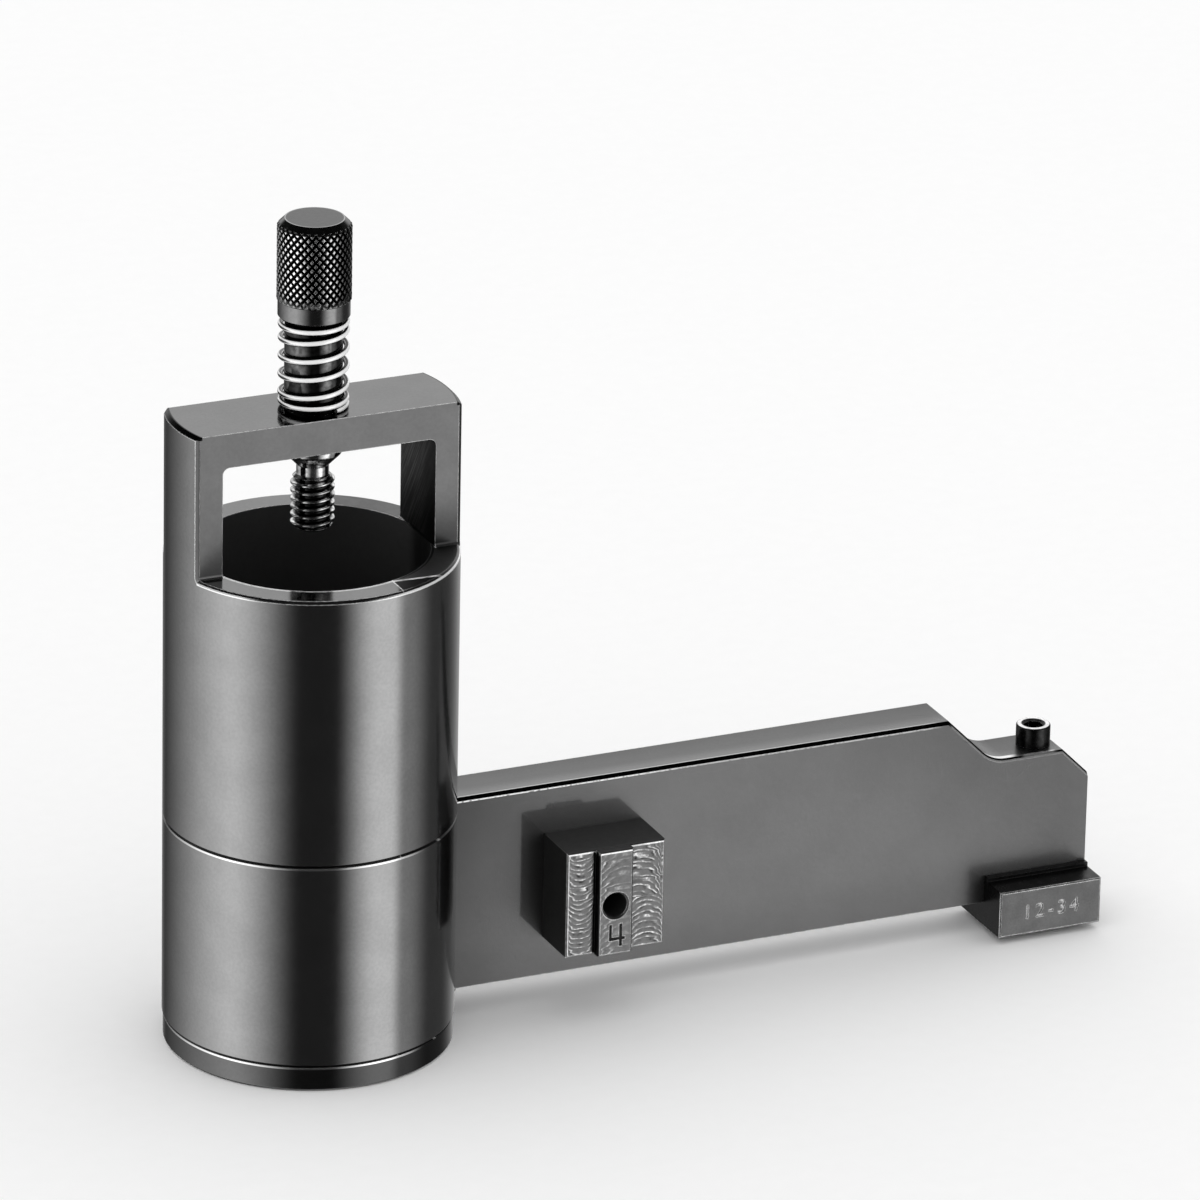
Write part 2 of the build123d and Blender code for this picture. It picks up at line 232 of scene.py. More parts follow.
def skin(rings, crease=None):
    """Points and faces of a closed skin over a stack of rings, each end drawn to its middle.

    crease(column, row) is 1 or 2 where a quad is split along a diagonal, and 0 where it stays whole.
    """
    count = len(rings[0])
    points = [point for ring in rings for point in ring]
    faces = []
    for row in range(len(rings) - 1):
        for column in range(count):
            after = (column + 1) % count
            a = row * count + column
            b = row * count + after
            c = b + count
            d = a + count
            split = crease(column, row) if crease else 0
            if split == 1:
                faces += [(a, b, c), (a, c, d)]
            elif split == 2:
                faces += [(a, b, d), (b, c, d)]
            else:
                faces.append((a, b, c, d))
    for ring, start, order in ((rings[0], 0, -1), (rings[-1], (len(rings) - 1) * count, 1)):
        middle = len(points)
        points.append(tuple(sum(point[axis] for point in ring) / count for axis in range(3)))
        for column in range(count):
            edge = (start + column, start + (column + 1) % count)
            faces.append((*edge[::order], middle))
    return points, faces


def circle(radius, z, count):
    """A level ring of points about the Z axis."""
    angles = [tau * step / count for step in range(count)]
    return [(radius * cos(angle), radius * sin(angle), z) for angle in angles]


def lathe(profile, count):
    """Rings for a turned shape from (radius, height) pairs, lowest first."""
    return [circle(radius, z, count) for radius, z in profile]


def ramp(value, low, high):
    """0 below low, 1 above high and a straight line between."""
    return min(max((value - low) / (high - low), 0.0), 1.0)


# Shader nodes


class Graph:
    """Adds nodes to a tree and gives what they make as values."""

    def __init__(self, tree):
        self.tree = tree
        tree.nodes.clear()

    def node(self, kind, **settings):
        made = self.tree.nodes.new(kind)
        for name, value in settings.items():
            setattr(made, name, value)
        return made

    def put(self, socket, value):
        if isinstance(value, Value):
            self.tree.links.new(value.socket, socket)
        else:
            socket.default_value = value

    def value(self, made, output=0):
        return Value(self, made.outputs[output])

    def filled(self, made, inputs, output):
        """What a node gives once its named inputs are put in."""
        for name, value in inputs.items():
            self.put(made.inputs[name], value)
        return self.value(made, output)

    def math(self, operation, *values):
        made = self.node("ShaderNodeMath", operation=operation)
        return self.filled(made, dict(enumerate(values)), "Value")

    def join(self, x, y, z):
        return self.filled(self.node("ShaderNodeCombineXYZ"), {"X": x, "Y": y, "Z": z}, "Vector")

    def bump(self, height, normal):
        """The normal as a height in mm tilts it."""
        inputs = {"Height": height, "Normal": normal, "Strength": 1.0, "Distance": MM}
        return self.filled(self.node("ShaderNodeBump"), inputs, "Normal")


class Value:
    """What a node gives. Sums, products and the methods each add a node and return its value."""

    def __init__(self, graph, socket):
        self.graph = graph
        self.socket = socket

    def math(self, operation, *others):
        return self.graph.math(operation, self, *others)

    def __add__(self, other):
        return self.math("ADD", other)

    def __radd__(self, other):
        return self.graph.math("ADD", other, self)

    def __sub__(self, other):
        return self.math("SUBTRACT", other)

    def __rsub__(self, other):
        return self.graph.math("SUBTRACT", other, self)

    def __mul__(self, other):
        return self.math("MULTIPLY", other)

    def __rmul__(self, other):
        return self.graph.math("MULTIPLY", other, self)

    def __pow__(self, other):
        return self.math("POWER", other)

    def __abs__(self):
        return self.math("ABSOLUTE")

    def vector(self, operation, *others):
        made = self.graph.node("ShaderNodeVectorMath", operation=operation)
        output = "Value" if operation in ("DOT_PRODUCT", "LENGTH") else "Vector"
        return self.graph.filled(made, dict(enumerate((self, *others))), output)

    def split(self):
        made = self.graph.node("ShaderNodeSeparateXYZ")
        self.graph.put(made.inputs[0], self)
        return [self.graph.value(made, output) for output in range(3)]

    def smooth(self, low, high, first=0.0, last=1.0):
        """Goes smoothly from first, where this is low, to last, where it is high."""
        made = self.graph.node("ShaderNodeMapRange", interpolation_type="SMOOTHSTEP")
        inputs = {"Value": self, "From Min": low, "From Max": high, "To Min": first, "To Max": last}
        return self.graph.filled(made, inputs, "Result")

    def mix(self, first, last):
        """The first where this is 0, and the last where it is 1."""
        made = self.graph.node("ShaderNodeMix", data_type="FLOAT")
        return self.graph.filled(made, {"Factor": self, "A": first, "B": last}, "Result")

    def noise(self, scale, detail=2.0):
        inputs = {"Vector": self, "Scale": scale, "Detail": detail}
        return self.graph.filled(self.graph.node("ShaderNodeTexNoise"), inputs, "Fac")

    def absent(self):
        """1 where this is 0, and 0 where it is 1."""
        return self.mix(1.0, 0.0)


def most(first, *rest):
    """The greatest of several values."""
    for value in rest:
        first = first.math("MAXIMUM", value)
    return first


class Surface:
    """What most steel finishes start from, in millimetres."""

    def __init__(self, graph, edge):
        self.graph = graph
        coordinates = graph.node("ShaderNodeTexCoord")
        scaled = graph.node("ShaderNodeVectorMath", operation="SCALE")
        inputs = {0: graph.value(coordinates, "Object"), "Scale": 1 / MM}
        self.place = graph.filled(scaled, inputs, "Vector")
        self.x, self.y, self.z = self.place.split()
        self.nx, self.ny, self.nz = graph.value(coordinates, "Normal").split()
        rounded = graph.node("ShaderNodeBevel", samples=EDGE_SAMPLES)
        self.rounded = graph.filled(rounded, {"Radius": edge * MM}, "Normal")
        flat = graph.value(graph.node("ShaderNodeNewGeometry"), "Normal")
        self.edge = self.rounded.vector("DOT_PRODUCT", flat).smooth(*EDGE_COSINES)

    def radius(self):
        return self.graph.join(self.x, self.y, 0.0).vector("LENGTH")

    def blotches(self, scale, low, high, detail=3.0):
        """Cloudy noise between two values."""
        return self.place.noise(scale, detail).smooth(*CLOUDY, low, high)


def metal(name, build, edge=0.34, worn_highlight_tone=1.0):
    """A steel material. build(surface) gives tone, roughness, height in mm, and how far edges are abraded
    and painted as a highlight.

    It may add how metallic it is: low where a skin of oil and oxide dulls it, and low where a painted
    highlight shows pale.
    """
    material = bpy.data.materials.new(name)
    material.use_nodes = True
    graph = Graph(material.node_tree)
    surface = Surface(graph, edge)
    tone, roughness, height, wear_and_highlight, *bare = build(surface)
    shader = graph.node("ShaderNodeBsdfPrincipled")
    # Abraded edges, painted pale and partly diffuse as an edge highlight.
    worn_and_highlit = surface.edge * wear_and_highlight * surface.blotches(0.9, 0.55, 1.0)
    graph.put(shader.inputs["Metallic"], worn_and_highlit.mix(bare[0] if bare else 1.0, EDGE_METALLIC))
    graph.put(shader.inputs["Base Color"], worn_and_highlit.mix(tone, worn_highlight_tone))
    graph.put(shader.inputs["Roughness"], worn_and_highlit.mix(roughness, EDGE_ROUGH))
    graph.put(shader.inputs["Normal"], graph.bump(height, surface.rounded))
    output = graph.node("ShaderNodeOutputMaterial")
    graph.put(output.inputs["Surface"], graph.value(shader, "BSDF"))
    return material


def orange_peel(surface, depth):
    """A fine uneven polish, in mm."""
    fine = surface.place.noise(PEEL_FINE)
    wide = surface.place.noise(PEEL_WIDE)
    return (fine + wide * PEEL_WIDE_SHARE) * depth


def band(value, middle, half):
    """1 within half of the middle, and 0 beyond it."""
    return abs(value - middle).smooth(half + BAND_SOFT, half - BAND_SOFT)


def over_seam(surface, seam, reach):
    """1 from a seam's height to reach above it, and 0 elsewhere."""
    off = abs(surface.z - (seam + reach / 2))
    return off.math("LESS_THAN", reach / 2)


def at_both_seams(surface, drop, reach):
    """1 from drop below each of the barrel's seams to reach above that, and 0 elsewhere."""
    return most(*(over_seam(surface, seam - drop, reach) for seam in (SEAM_Z, BASE_Z)))


# Finish of the barrel. A pair is where a mask starts and is full, or the two tones at its ends.
BARREL_TONE = 0.28
BARREL_ROUGH = 0.14
FLAT_TONE = 0.168
FLAT_ROUGH = 0.30
TOP_TONE = 0.187
TOP_ROUGH = 0.11
WINDOW_TONES = (0.03, 0.12)
WINDOW_MARKS = (0.42, 0.66)
WINDOW_SHADE = (-9.0, 2.0, 0.12, 1.0)
WINDOW_ROUGH = 0.42
WINDOW_MARK_DEPTH = 0.015
BORE_TONE = 0.045
BORE_ROUGH = 0.55
BORE_METALLIC = 0.35
# The base ring is painted darker towards the right as shade.
RING_SHADE_TONES = (0.125, 0.075)
RING_SHADE_X = (-14.0, 2.0)
TOOL_RING_DEPTH = 0.0012
LEG_FOOT_X = (8.0, 14.0)
LEG_FOOT_Z = (RIM_Z + 14.0, RIM_Z + 1.0)
LEG_FOOT_SHARE = 0.33
# The shelf's right part is painted darker as shade.
SHELF_RIGHT_SHADE = 0.7
SHELF_RIGHT_ROUGH = 0.4
SHELF_SOFT = 0.1
LIP_X = (8.5, 12.0)
LIP_Y = (6.0, 2.0)
BY_ARM_X = (10.0, 16.0)
BY_ARM_Y = (12.0, 8.0)
JOINT_HEIGHT = 0.4
SEAM_CLEAN = 1.2
# The lines under the seams and along the rim are painted highlights.
SEAM_LINE_DROP = 0.55
SEAM_LINE_HALF = 0.22
SEAM_LINE_SHARE = 0.85
SEAM_WEAR_AND_HIGHLIGHT = 0.12
RIM_LINE_DROP = 0.62
RIM_LINE_HALF = 0.24
RIM_LINE_RIGHT = (-2.0, 10.0)
RIM_LINE_LEFT = (-20.0, -25.0)
RIM_CLEAN_X = (8.0, 12.0)
FOOT_CLEAN_Z = (1.0, 1.5)


def beyond_step(surface):
    """How far a point of the shelf lies behind the middle of the cutter's slanting step."""
    return surface.y - surface.x * SHELF_STEP_SLOPE


def shelf_shade_wedge(surface):
    """1 on the shelf's corner in front of the right leg, outside the step that a cutter left, where shade
    is painted black.
    """
    return (
        surface.x.smooth(SHELF_STEP_START - 2 * SHELF_SOFT, SHELF_STEP_START)
        * beyond_step(surface).smooth(SHELF_STEP_Y + SHELF_SOFT, SHELF_STEP_Y - SHELF_SOFT)
    )


def shelf_step_highlight(surface):
    """1 on the painted highlight along the cutter's step, and on the bore's edge from there to the left
    leg.
    """
    step = (
        band(beyond_step(surface), SHELF_STEP_Y, 0.35)
        * surface.x.smooth(SHELF_STEP_START - 2 * SHELF_SOFT, SHELF_STEP_START)
    )
    corner = band(surface.x, SHELF_STEP_START, 0.15) * surface.y.smooth(SHELF_STEP_Y + 1.0, SHELF_STEP_Y)
    lip = (
        surface.radius().smooth(BORE_R + 0.75, BORE_R + 0.6)
        * surface.x.smooth(SHELF_STEP_START, SHELF_STEP_START - 2 * SHELF_SOFT)
        * surface.y.smooth(0.0, -1.0)
        * 0.6
    )
    return most(step, corner, lip)


class BarrelMasks:
    """Where the barrel's regions lie. Each mask is 1 on its region and 0 off it."""

    def __init__(self, surface):
        x, y, z = surface.x, surface.y, surface.z
        radius = surface.radius()
        upright = abs(surface.nz).smooth(*UPRIGHT)
        sideways = abs(surface.nx).smooth(*SIDEWAYS)
        below_top = z.smooth(RIM_Z + 0.8, RIM_Z + 0.4)
        below_rim = z.smooth(RIM_Z - 0.02, RIM_Z - 0.1)
        right = x.smooth(SHELF_STEP_START - SHELF_SOFT, SHELF_STEP_START + SHELF_SOFT)
        self.top = surface.nz.smooth(*LEVEL)
        self.turned = radius.smooth(BARREL_R - 0.55, BARREL_R - 0.35) * upright
        self.outer = radius.smooth(BARREL_R - 0.85, BARREL_R - 0.65)
        self.bore = radius.smooth(BORE_R + 1.6, BORE_R + 0.6) * below_rim
        self.window = sideways * radius.smooth(BARREL_R - 0.75, BARREL_R - 1.75)
        self.ring = z.smooth(BASE_Z + 0.2, BASE_Z - 0.2)
        self.shelf = self.top * below_top
        self.shelf_right = self.shelf * right
        self.leg_foot = x.smooth(*LEG_FOOT_X) * z.smooth(*LEG_FOOT_Z) * surface.ny.smooth(*TOWARDS_FRONT)
        self.by_arm = x.smooth(*BY_ARM_X) * y.smooth(*BY_ARM_Y)
        # The bore's lip by the right leg and the bridge's top outer edge are painted near black as shade;
        # the joints are dark joints between parts.
        lip = x.smooth(*LIP_X) * radius.smooth(BORE_R + 0.7, BORE_R + 0.5) * y.smooth(*LIP_Y) * below_top
        bridge_rim = (
            z.smooth(BRIDGE_TOP - 0.8, BRIDGE_TOP - 0.7)
            * radius.smooth(BARREL_R - 1.25, BARREL_R - 1.05)
        )
        joints = at_both_seams(surface, 0.0, JOINT_HEIGHT) * self.outer
        self.dark = most(lip, joints, bridge_rim)


def window_marks(surface):
    """Slanting strokes of the cutter that opened the window."""
    across = surface.z * 1.5 + surface.y * 2.4
    return surface.graph.join(across, surface.y * 0.12, 0.0).noise(1.0)


def barrel_highlights(surface, masks):
    """1 on the painted highlights under both seams, and 1 on those along the rim."""
    drops = [band(surface.z, seam - SEAM_LINE_DROP, SEAM_LINE_HALF) for seam in (SEAM_Z, BASE_Z)]
    seams = most(*drops) * masks.by_arm.mix(SEAM_LINE_SHARE, 0.0) * masks.outer
    sides = most(surface.x.smooth(*RIM_LINE_RIGHT), surface.x.smooth(*RIM_LINE_LEFT))
    off_legs = abs(surface.y).smooth(BRIDGE_HALF - 0.1, BRIDGE_HALF + 0.1)
    drop = band(surface.z, RIM_Z - RIM_LINE_DROP, RIM_LINE_HALF)
    return seams, drop * sides * off_legs * masks.outer


def barrel_tone(surface, masks, marks):
    """Tone of the barrel's regions, without its painted highlights."""
    shade = surface.y.smooth(*WINDOW_SHADE)
    window = marks.smooth(*WINDOW_MARKS, *WINDOW_TONES) * shade
    flat = masks.window.mix(masks.top.mix(FLAT_TONE, TOP_TONE), window)
    flat = flat * masks.leg_foot.mix(1.0, LEG_FOOT_SHARE)
    ring = surface.x.smooth(*RING_SHADE_X, *RING_SHADE_TONES)
    tone = masks.turned.mix(flat, masks.ring.mix(BARREL_TONE, ring))
    tone = masks.bore.mix(tone, BORE_TONE)
    tone = tone * masks.shelf_right.mix(1.0, SHELF_RIGHT_SHADE)
    # The shelf's corner is painted black as shade.
    return (masks.shelf * shelf_shade_wedge(surface)).mix(tone, BLACK)


def barrel_rough(surface, masks):
    flat = masks.window.mix(masks.top.mix(FLAT_ROUGH, TOP_ROUGH), WINDOW_ROUGH)
    rough = masks.bore.mix(masks.turned.mix(flat, BARREL_ROUGH), BORE_ROUGH)
    rough = masks.shelf_right.mix(rough, SHELF_RIGHT_ROUGH)
    return rough * surface.blotches(0.5, 0.94, 1.08)


def barrel_wear_and_highlight(surface, masks):
    """How far edges are abraded bright and painted as a highlight: not at the foot or in the joints, and
    little under a seam.
    """
    right_rim = surface.x.smooth(*RIM_CLEAN_X) * over_seam(surface, RIM_Z - 0.3, 0.8) * masks.outer
    clean = most(at_both_seams(surface, 0.0, SEAM_CLEAN), masks.dark, right_rim)
    under_seams = at_both_seams(surface, SEAM_CLEAN, SEAM_CLEAN)
    return (
        surface.z.smooth(*FOOT_CLEAN_Z)
        * clean.absent()
        * under_seams.mix(1.0, masks.by_arm.mix(SEAM_WEAR_AND_HIGHLIGHT, 0.0))
    )


def body_finish(surface):
    """Turned outside, milled flats, ground top, dull window sides and a dark bore, with painted highlights
    and painted shade.
    """
    masks = BarrelMasks(surface)
    marks = window_marks(surface)
    seam_highlights, rim_highlight = barrel_highlights(surface, masks)
    # A painted highlight along the shelf's step.
    step_highlight = masks.shelf * shelf_step_highlight(surface) * surface.blotches(0.8, 0.5, 1.0)
    tone = step_highlight.mix(barrel_tone(surface, masks, marks), 1.0)
    # Dark joints, and painted shade on the bore's lip and the bridge's top outer edge.
    tone = masks.dark.mix(tone, NEAR_BLACK)
    tone = most(seam_highlights, rim_highlight).mix(tone, 1.0)
    tone = tone * surface.blotches(0.12, 0.96, 1.04) * surface.blotches(1.4, 0.965, 1.035)
    rings = surface.graph.join(0.0, 0.0, surface.z * 6.0).noise(1.0, 3.0)
    height = (
        orange_peel(surface, FINE_POLISH)
        + rings * masks.turned * TOOL_RING_DEPTH
        + marks * masks.window * WINDOW_MARK_DEPTH
    )
    # Painted highlights are made partly diffuse so that they show pale.
    highlight_diffuse_share = most(rim_highlight * 0.5, step_highlight * 0.8)
    metallic = masks.bore.mix(1.0 - highlight_diffuse_share, BORE_METALLIC)
    return tone, barrel_rough(surface, masks), height, barrel_wear_and_highlight(surface, masks), metallic


# Finish of the arm. A fade holds where it starts and ends, in mm, and then its values there.
ARM_FRONT_TONE = 0.212
ARM_TOP_TONE = 0.125
ARM_TOP_NORMAL = (0.75, 0.9)
ARM_CHAMFER_NORMAL = ((-0.35, -0.5), (-0.92, -0.8))
ARM_ROOT_LEAN = -0.25
# The front is painted darker towards the barrel as shade.
ARM_ROOT_SHADE = (8.0, 55.0, 0.34, 1.0)
ARM_FAR_LEAN = 1.5
ARM_FAR_FADE = (180.0, 230.0, 1.0, 0.82)
ARM_FOOT_FADE = (4.0, 22.0, 0.78, 1.0)
ARM_TOP_FRONT_FADE = (-5.0, 0.5, 1.75, 1.0)
ARM_TOP_BACK_FADE = (0.5, 6.5, 1.0, 0.82)
ARM_GLOSS_FADE = (110.0, 160.0, 0.09, 0.24)
ARM_HAZE = (0.40, 0.46)
ARM_HAZE_ROUGH = 0.6
# The lines beside the arm's chamfer and the crescent are painted highlights.
ARM_HIGHLIGHT_FADE = (65.0, 95.0, 1.0, 0.4)
ARM_HIGHLIGHT_GAPS = (0.36, 0.46, 0.25, 1.0)
ARM_TOP_HIGHLIGHT_SHARE = 0.35
ARM_NOTCH_WEAR_AND_HIGHLIGHT = 0.12
CRESCENT_X = ((ARM_NOTCH_X + 5.0, ARM_NOTCH_X + 8.0), (ARM_NOTCH_X + 18.5, ARM_NOTCH_X + 15.5))
CRESCENT_Y = (ARM_EDGE_Y + 1.5, ARM_EDGE_Y + 1.0)
NOTCH_FLOOR_X = ((ARM_NOTCH_X + 18.0, ARM_NOTCH_X + 19.5), (ARM_NOTCH_X + 27.5, ARM_NOTCH_X + 26.0))
NOTCH_HALF_TONE = 0.52
NOTCH_FLOOR_TONE = 0.3
NOTCH_HIGHLIGHT_METALLIC = (0.0, 0.3, 1.0, 0.82)


def between(value, rise, fall):
    """1 between two fades, each a start and an end, and 0 outside them."""
    return value.smooth(*rise) * value.smooth(*fall)


def arm_notch_highlight(surface, chamfer):
    """Tone of the painted highlight round the notch: half of its chamfer, and a broken line along its
    floor.
    """
    past_ramp = surface.x.smooth(ARM_NOTCH_X, ARM_NOTCH_X + 1.0)
    front_half = surface.y.smooth(ARM_FRONT + 0.4, ARM_FRONT + 0.3)
    on_floor = between(surface.x, *NOTCH_FLOOR_X)
    lip = (
        on_floor
        * band(surface.y, ARM_EDGE_Y + 0.25, 0.25)
        * surface.nz.smooth(0.8, 0.9)
        * surface.blotches(1.2, 0.3, 1.0)
    )
    half = chamfer * past_ramp * front_half * NOTCH_HALF_TONE
    return most(half, chamfer * on_floor * NOTCH_FLOOR_TONE, lip)


def arm_front(surface):
    """Tone of the front: painted shade by the barrel, and darker at the foot and towards the far end."""
    from_root = surface.x + surface.z * ARM_ROOT_LEAN
    far_up = surface.x + surface.z * ARM_FAR_LEAN
    return (
        ARM_FRONT_TONE
        * from_root.smooth(*ARM_ROOT_SHADE)
        * far_up.smooth(*ARM_FAR_FADE)
        * surface.z.smooth(*ARM_FOOT_FADE)
    )


def arm_highlights(surface, top, straight):
    """1 on the painted highlights beside the straight chamfer, and on the painted highlight of the crescent
    in the notch's arc.
    """
    front_highlight = (
        band(surface.z, ARM_TOP - ARM_CHAMFER - 0.15, 0.2)
        * surface.ny.smooth(-0.8, -0.95)
        * surface.place.noise(1.6, 1.0).smooth(*ARM_HIGHLIGHT_GAPS)
        * surface.x.smooth(*ARM_HIGHLIGHT_FADE)
    )
    top_highlight = band(surface.y, ARM_EDGE_Y + 0.2, 0.2) * top * ARM_TOP_HIGHLIGHT_SHARE
    crescent = (
        between(surface.x, *CRESCENT_X)
        * surface.y.smooth(*CRESCENT_Y)
        * surface.nz.smooth(0.5, 0.7)
        * surface.ny.smooth(-0.3, -0.2)
    )
    return most(most(front_highlight, top_highlight) * straight, crescent)


def arm_finish(surface):
    """Ground flats with a light haze; the front has painted shade by the barrel and is darker at the foot
    and towards the far end.
    """
    top = surface.nz.smooth(*ARM_TOP_NORMAL)
    chamfer = between(surface.ny, *ARM_CHAMFER_NORMAL)
    straight = surface.x.smooth(ARM_NOTCH_X - 1.0, ARM_NOTCH_X - 5.0)
    top_tone = ARM_TOP_TONE * surface.y.smooth(*ARM_TOP_FRONT_FADE) * surface.y.smooth(*ARM_TOP_BACK_FADE)
    tone = top.mix(arm_front(surface), top_tone)
    tone = tone * surface.blotches(0.1, 0.97, 1.03) * surface.blotches(1.6, 0.97, 1.03)
    tone = arm_highlights(surface, top, straight).mix(tone, 1.0)
    # The chamfer is painted black as shade.
    tone = chamfer.mix(tone, BLACK)
    # Painted highlight round the notch.
    notch_highlight = arm_notch_highlight(surface, chamfer)
    tone = most(tone, notch_highlight)
    speckle = surface.place.noise(11.0, 0.0)
    haze = speckle.smooth(*ARM_HAZE) * top.mix(1.0, 0.3)
    rough = haze.mix(surface.x.smooth(*ARM_GLOSS_FADE), ARM_HAZE_ROUGH)
    wear_and_highlight = straight.mix(ARM_NOTCH_WEAR_AND_HIGHLIGHT, 1.0) * chamfer.absent()
    metallic = notch_highlight.smooth(*NOTCH_HIGHLIGHT_METALLIC)
    return tone, rough, orange_peel(surface, FINE_POLISH), wear_and_highlight, metallic


# Finish of the end block: its blackened sides first, then its ground front
END_TONES = (0.025, 0.10)
END_ROUGHS = (0.3, 0.17)
END_FRONT_Y = (END_FRONT + 1.0, END_FRONT + 0.7)
END_MARK_Y = (END_FRONT + 0.06, END_FRONT + 0.14)
END_MARK_TONE = 0.45


def end_finish(surface):
    """A ground front between blackened sides, with bright stamped numbers."""
    near_front = surface.y.smooth(*END_FRONT_Y)
    front = surface.ny.smooth(*TOWARDS_FRONT) * near_front
    sunk = surface.y.smooth(*END_MARK_Y) * front
    clouds = surface.blotches(0.3, 0.9, 1.1) * surface.blotches(2.5, 0.9, 1.1)
    tone = sunk.mix(front.mix(*END_TONES) * clouds, END_MARK_TONE)
    rough = front.mix(*END_ROUGHS) * surface.blotches(0.6, 0.85, 1.2)
    height = orange_peel(surface, depth=0.0014)
    return tone, rough, height, near_front * sunk.absent()


# Arcs of the face cutter on the gauge block: middle, radius, 1 to open up or -1 to open down, and pitch
LEFT_ARCS = (56.3, 3.7, 1.0, 1.15)
RIGHT_LOW_ARCS = (71.8, 4.6, -1.0, 1.25)
RIGHT_HIGH_ARCS = (69.6, 5.8, -1.0, 1.4)
RIB_ARCS = (65.5, 6.2, -1.0, 1.7)
RIGHT_ARCS_MEET = (28.0, 28.2)
ARC_DRIFT = 1.8
ARC_WOBBLE = 0.9
CREST_POWER = 6.0
FURROW_POWER = 4.0
FURROW_LAG = 1.7
FURROW_SHARE = -0.6
MARK_DEPTH = 0.02
RIB_MARKS = (-3.0, 3.0, 0.6, 0.2)

# Finish of the gauge block
MILLED_TONE = 0.145
# The cutter's arcs are tool marks; their crests are painted lighter as a highlight and their furrows darker
# as shade.
CREST_HIGHLIGHT_TONE = 0.55
FURROW_SHADE_TONE = -0.13
LEAST_TONE = 0.01
GAUGE_SIDE_TONE = 0.05
GAUGE_ROUGHS = (0.3, 0.24)
GAUGE_METALLIC = 0.8
GAUGE_SIDE_METALLIC = 0.65
GAUGE_MARK_SHARE = 0.06
RIB_BORDER_HIGHLIGHT = 0.7


def cutter_arcs(surface, centre, radius, rise, pitch):
    """Strokes of a face cutter that stepped along Z, counted from one to the next.

    Their arcs open up where rise is 1 and down where it is -1.
    """
    across = surface.x - centre
    under = most(radius * radius - across * across, 0.01)
    travel = surface.z + under.math("SQRT") * rise
    return travel * (1 / pitch)


class GaugeMasks:
    """Where the gauge block's regions lie. Each mask is 1 on its region and 0 off it."""

    def __init__(self, surface):
        self.beside = surface.x - RIB_X
        self.off = abs(self.beside)
        self.front = surface.ny.smooth(*TOWARDS_FRONT)
        self.rib = self.off.smooth(RIB_HALF - 0.05, RIB_HALF - 0.15)
        self.right = self.beside.smooth(RIB_HALF - 0.1, RIB_HALF)
        stamped = surface.y.smooth(RIB_FACE + 0.12, RIB_FACE + 0.2)
        self.sunk = self.rib * stamped * self.front
        # The rib's flank, painted black as shade.
        self.shaded_rib_side = (
            band(self.off, RIB_HALF, 0.15)
            * (1.0 - self.front)
            * surface.y.smooth(GAUGE_FACE + 0.1, GAUGE_FACE)
        )


def cutter_marks(surface, masks):
    """Crests and furrows of the cutter's arcs, each from 0 to 1, and how deep it cut."""
    arcs = (LEFT_ARCS, RIGHT_LOW_ARCS, RIGHT_HIGH_ARCS, RIB_ARCS)
    left, low, high, rib = (cutter_arcs(surface, *each) for each in arcs)
    right = surface.z.smooth(*RIGHT_ARCS_MEET).mix(low, high)
    stroke = (
        masks.rib.mix(masks.right.mix(left, right), rib)
        + surface.graph.join(0.0, 0.0, surface.z).noise(0.8, 1.0) * ARC_DRIFT
        + surface.place.noise(0.4, 1.0) * ARC_WOBBLE
    )
    turn = stroke * tau
    crest = turn.math("SINE").smooth(-1.0, 1.0) ** CREST_POWER
    behind = (turn + FURROW_LAG).math("SINE")
    furrow = behind.smooth(-1.0, 1.0) ** FURROW_POWER
    cut = (
        masks.front
        * surface.blotches(0.6, 0.05, 1.15, 2.0)
        * surface.blotches(1.8, 0.4, 1.1)
        * masks.rib.mix(1.0, masks.beside.smooth(*RIB_MARKS))
    )
    return crest, furrow, cut


def gauge_front(surface, masks, crest, furrow, cut):
    """Tone of the milled front, with the cutter's arcs painted as highlight and shade, painted highlights
    along its borders and a painted shadow left of the rib.
    """
    crests = crest * cut * CREST_HIGHLIGHT_TONE
    marks = MILLED_TONE + crests + furrow * cut * FURROW_SHADE_TONE
    # Painted highlights along the front's borders and the rib's left edge.
    rib_left = masks.rib * masks.beside.smooth(0.5 - RIB_HALF, 0.4 - RIB_HALF) * RIB_BORDER_HIGHLIGHT
    border_highlight = most(
        surface.x.smooth(GAUGE_LEFT + 0.55, GAUGE_LEFT + 0.45),
        rib_left,
        surface.z.smooth(GAUGE_TOP - 0.7, GAUGE_TOP - 0.6),
    )
    border_highlight = border_highlight * surface.blotches(0.8, 0.5, 1.0)
    # A painted shadow on the land left of the rib.
    rib_shadow = band(masks.beside, -RIB_HALF - 0.25, 0.25) * surface.y.smooth(RIB_FACE + 1.0, RIB_FACE + 1.2)
    return rib_shadow.mix(border_highlight.mix(most(marks, LEAST_TONE), 1.0), BLACK)


def gauge_wear_and_highlight(surface, masks):
    """How far edges are abraded and painted as a highlight: in full at the front, and not by the arm, on
    top or beside the rib.
    """
    flank = between(masks.off, (RIB_HALF + 0.6, RIB_HALF + 0.3), (RIB_HALF - 0.45, RIB_HALF - 0.3))
    behind_rib = flank * surface.z.smooth(GAUGE_TOP - 0.6, GAUGE_TOP - 0.8)
    return (
        surface.y.smooth(GAUGE_FACE + 0.5, GAUGE_FACE + 0.7, 1.0, 0.5)
        * surface.y.smooth(ARM_FRONT - 0.7, ARM_FRONT - 0.9)
        * surface.nz.smooth(0.7, 0.5)
        * behind_rib.absent()
    )


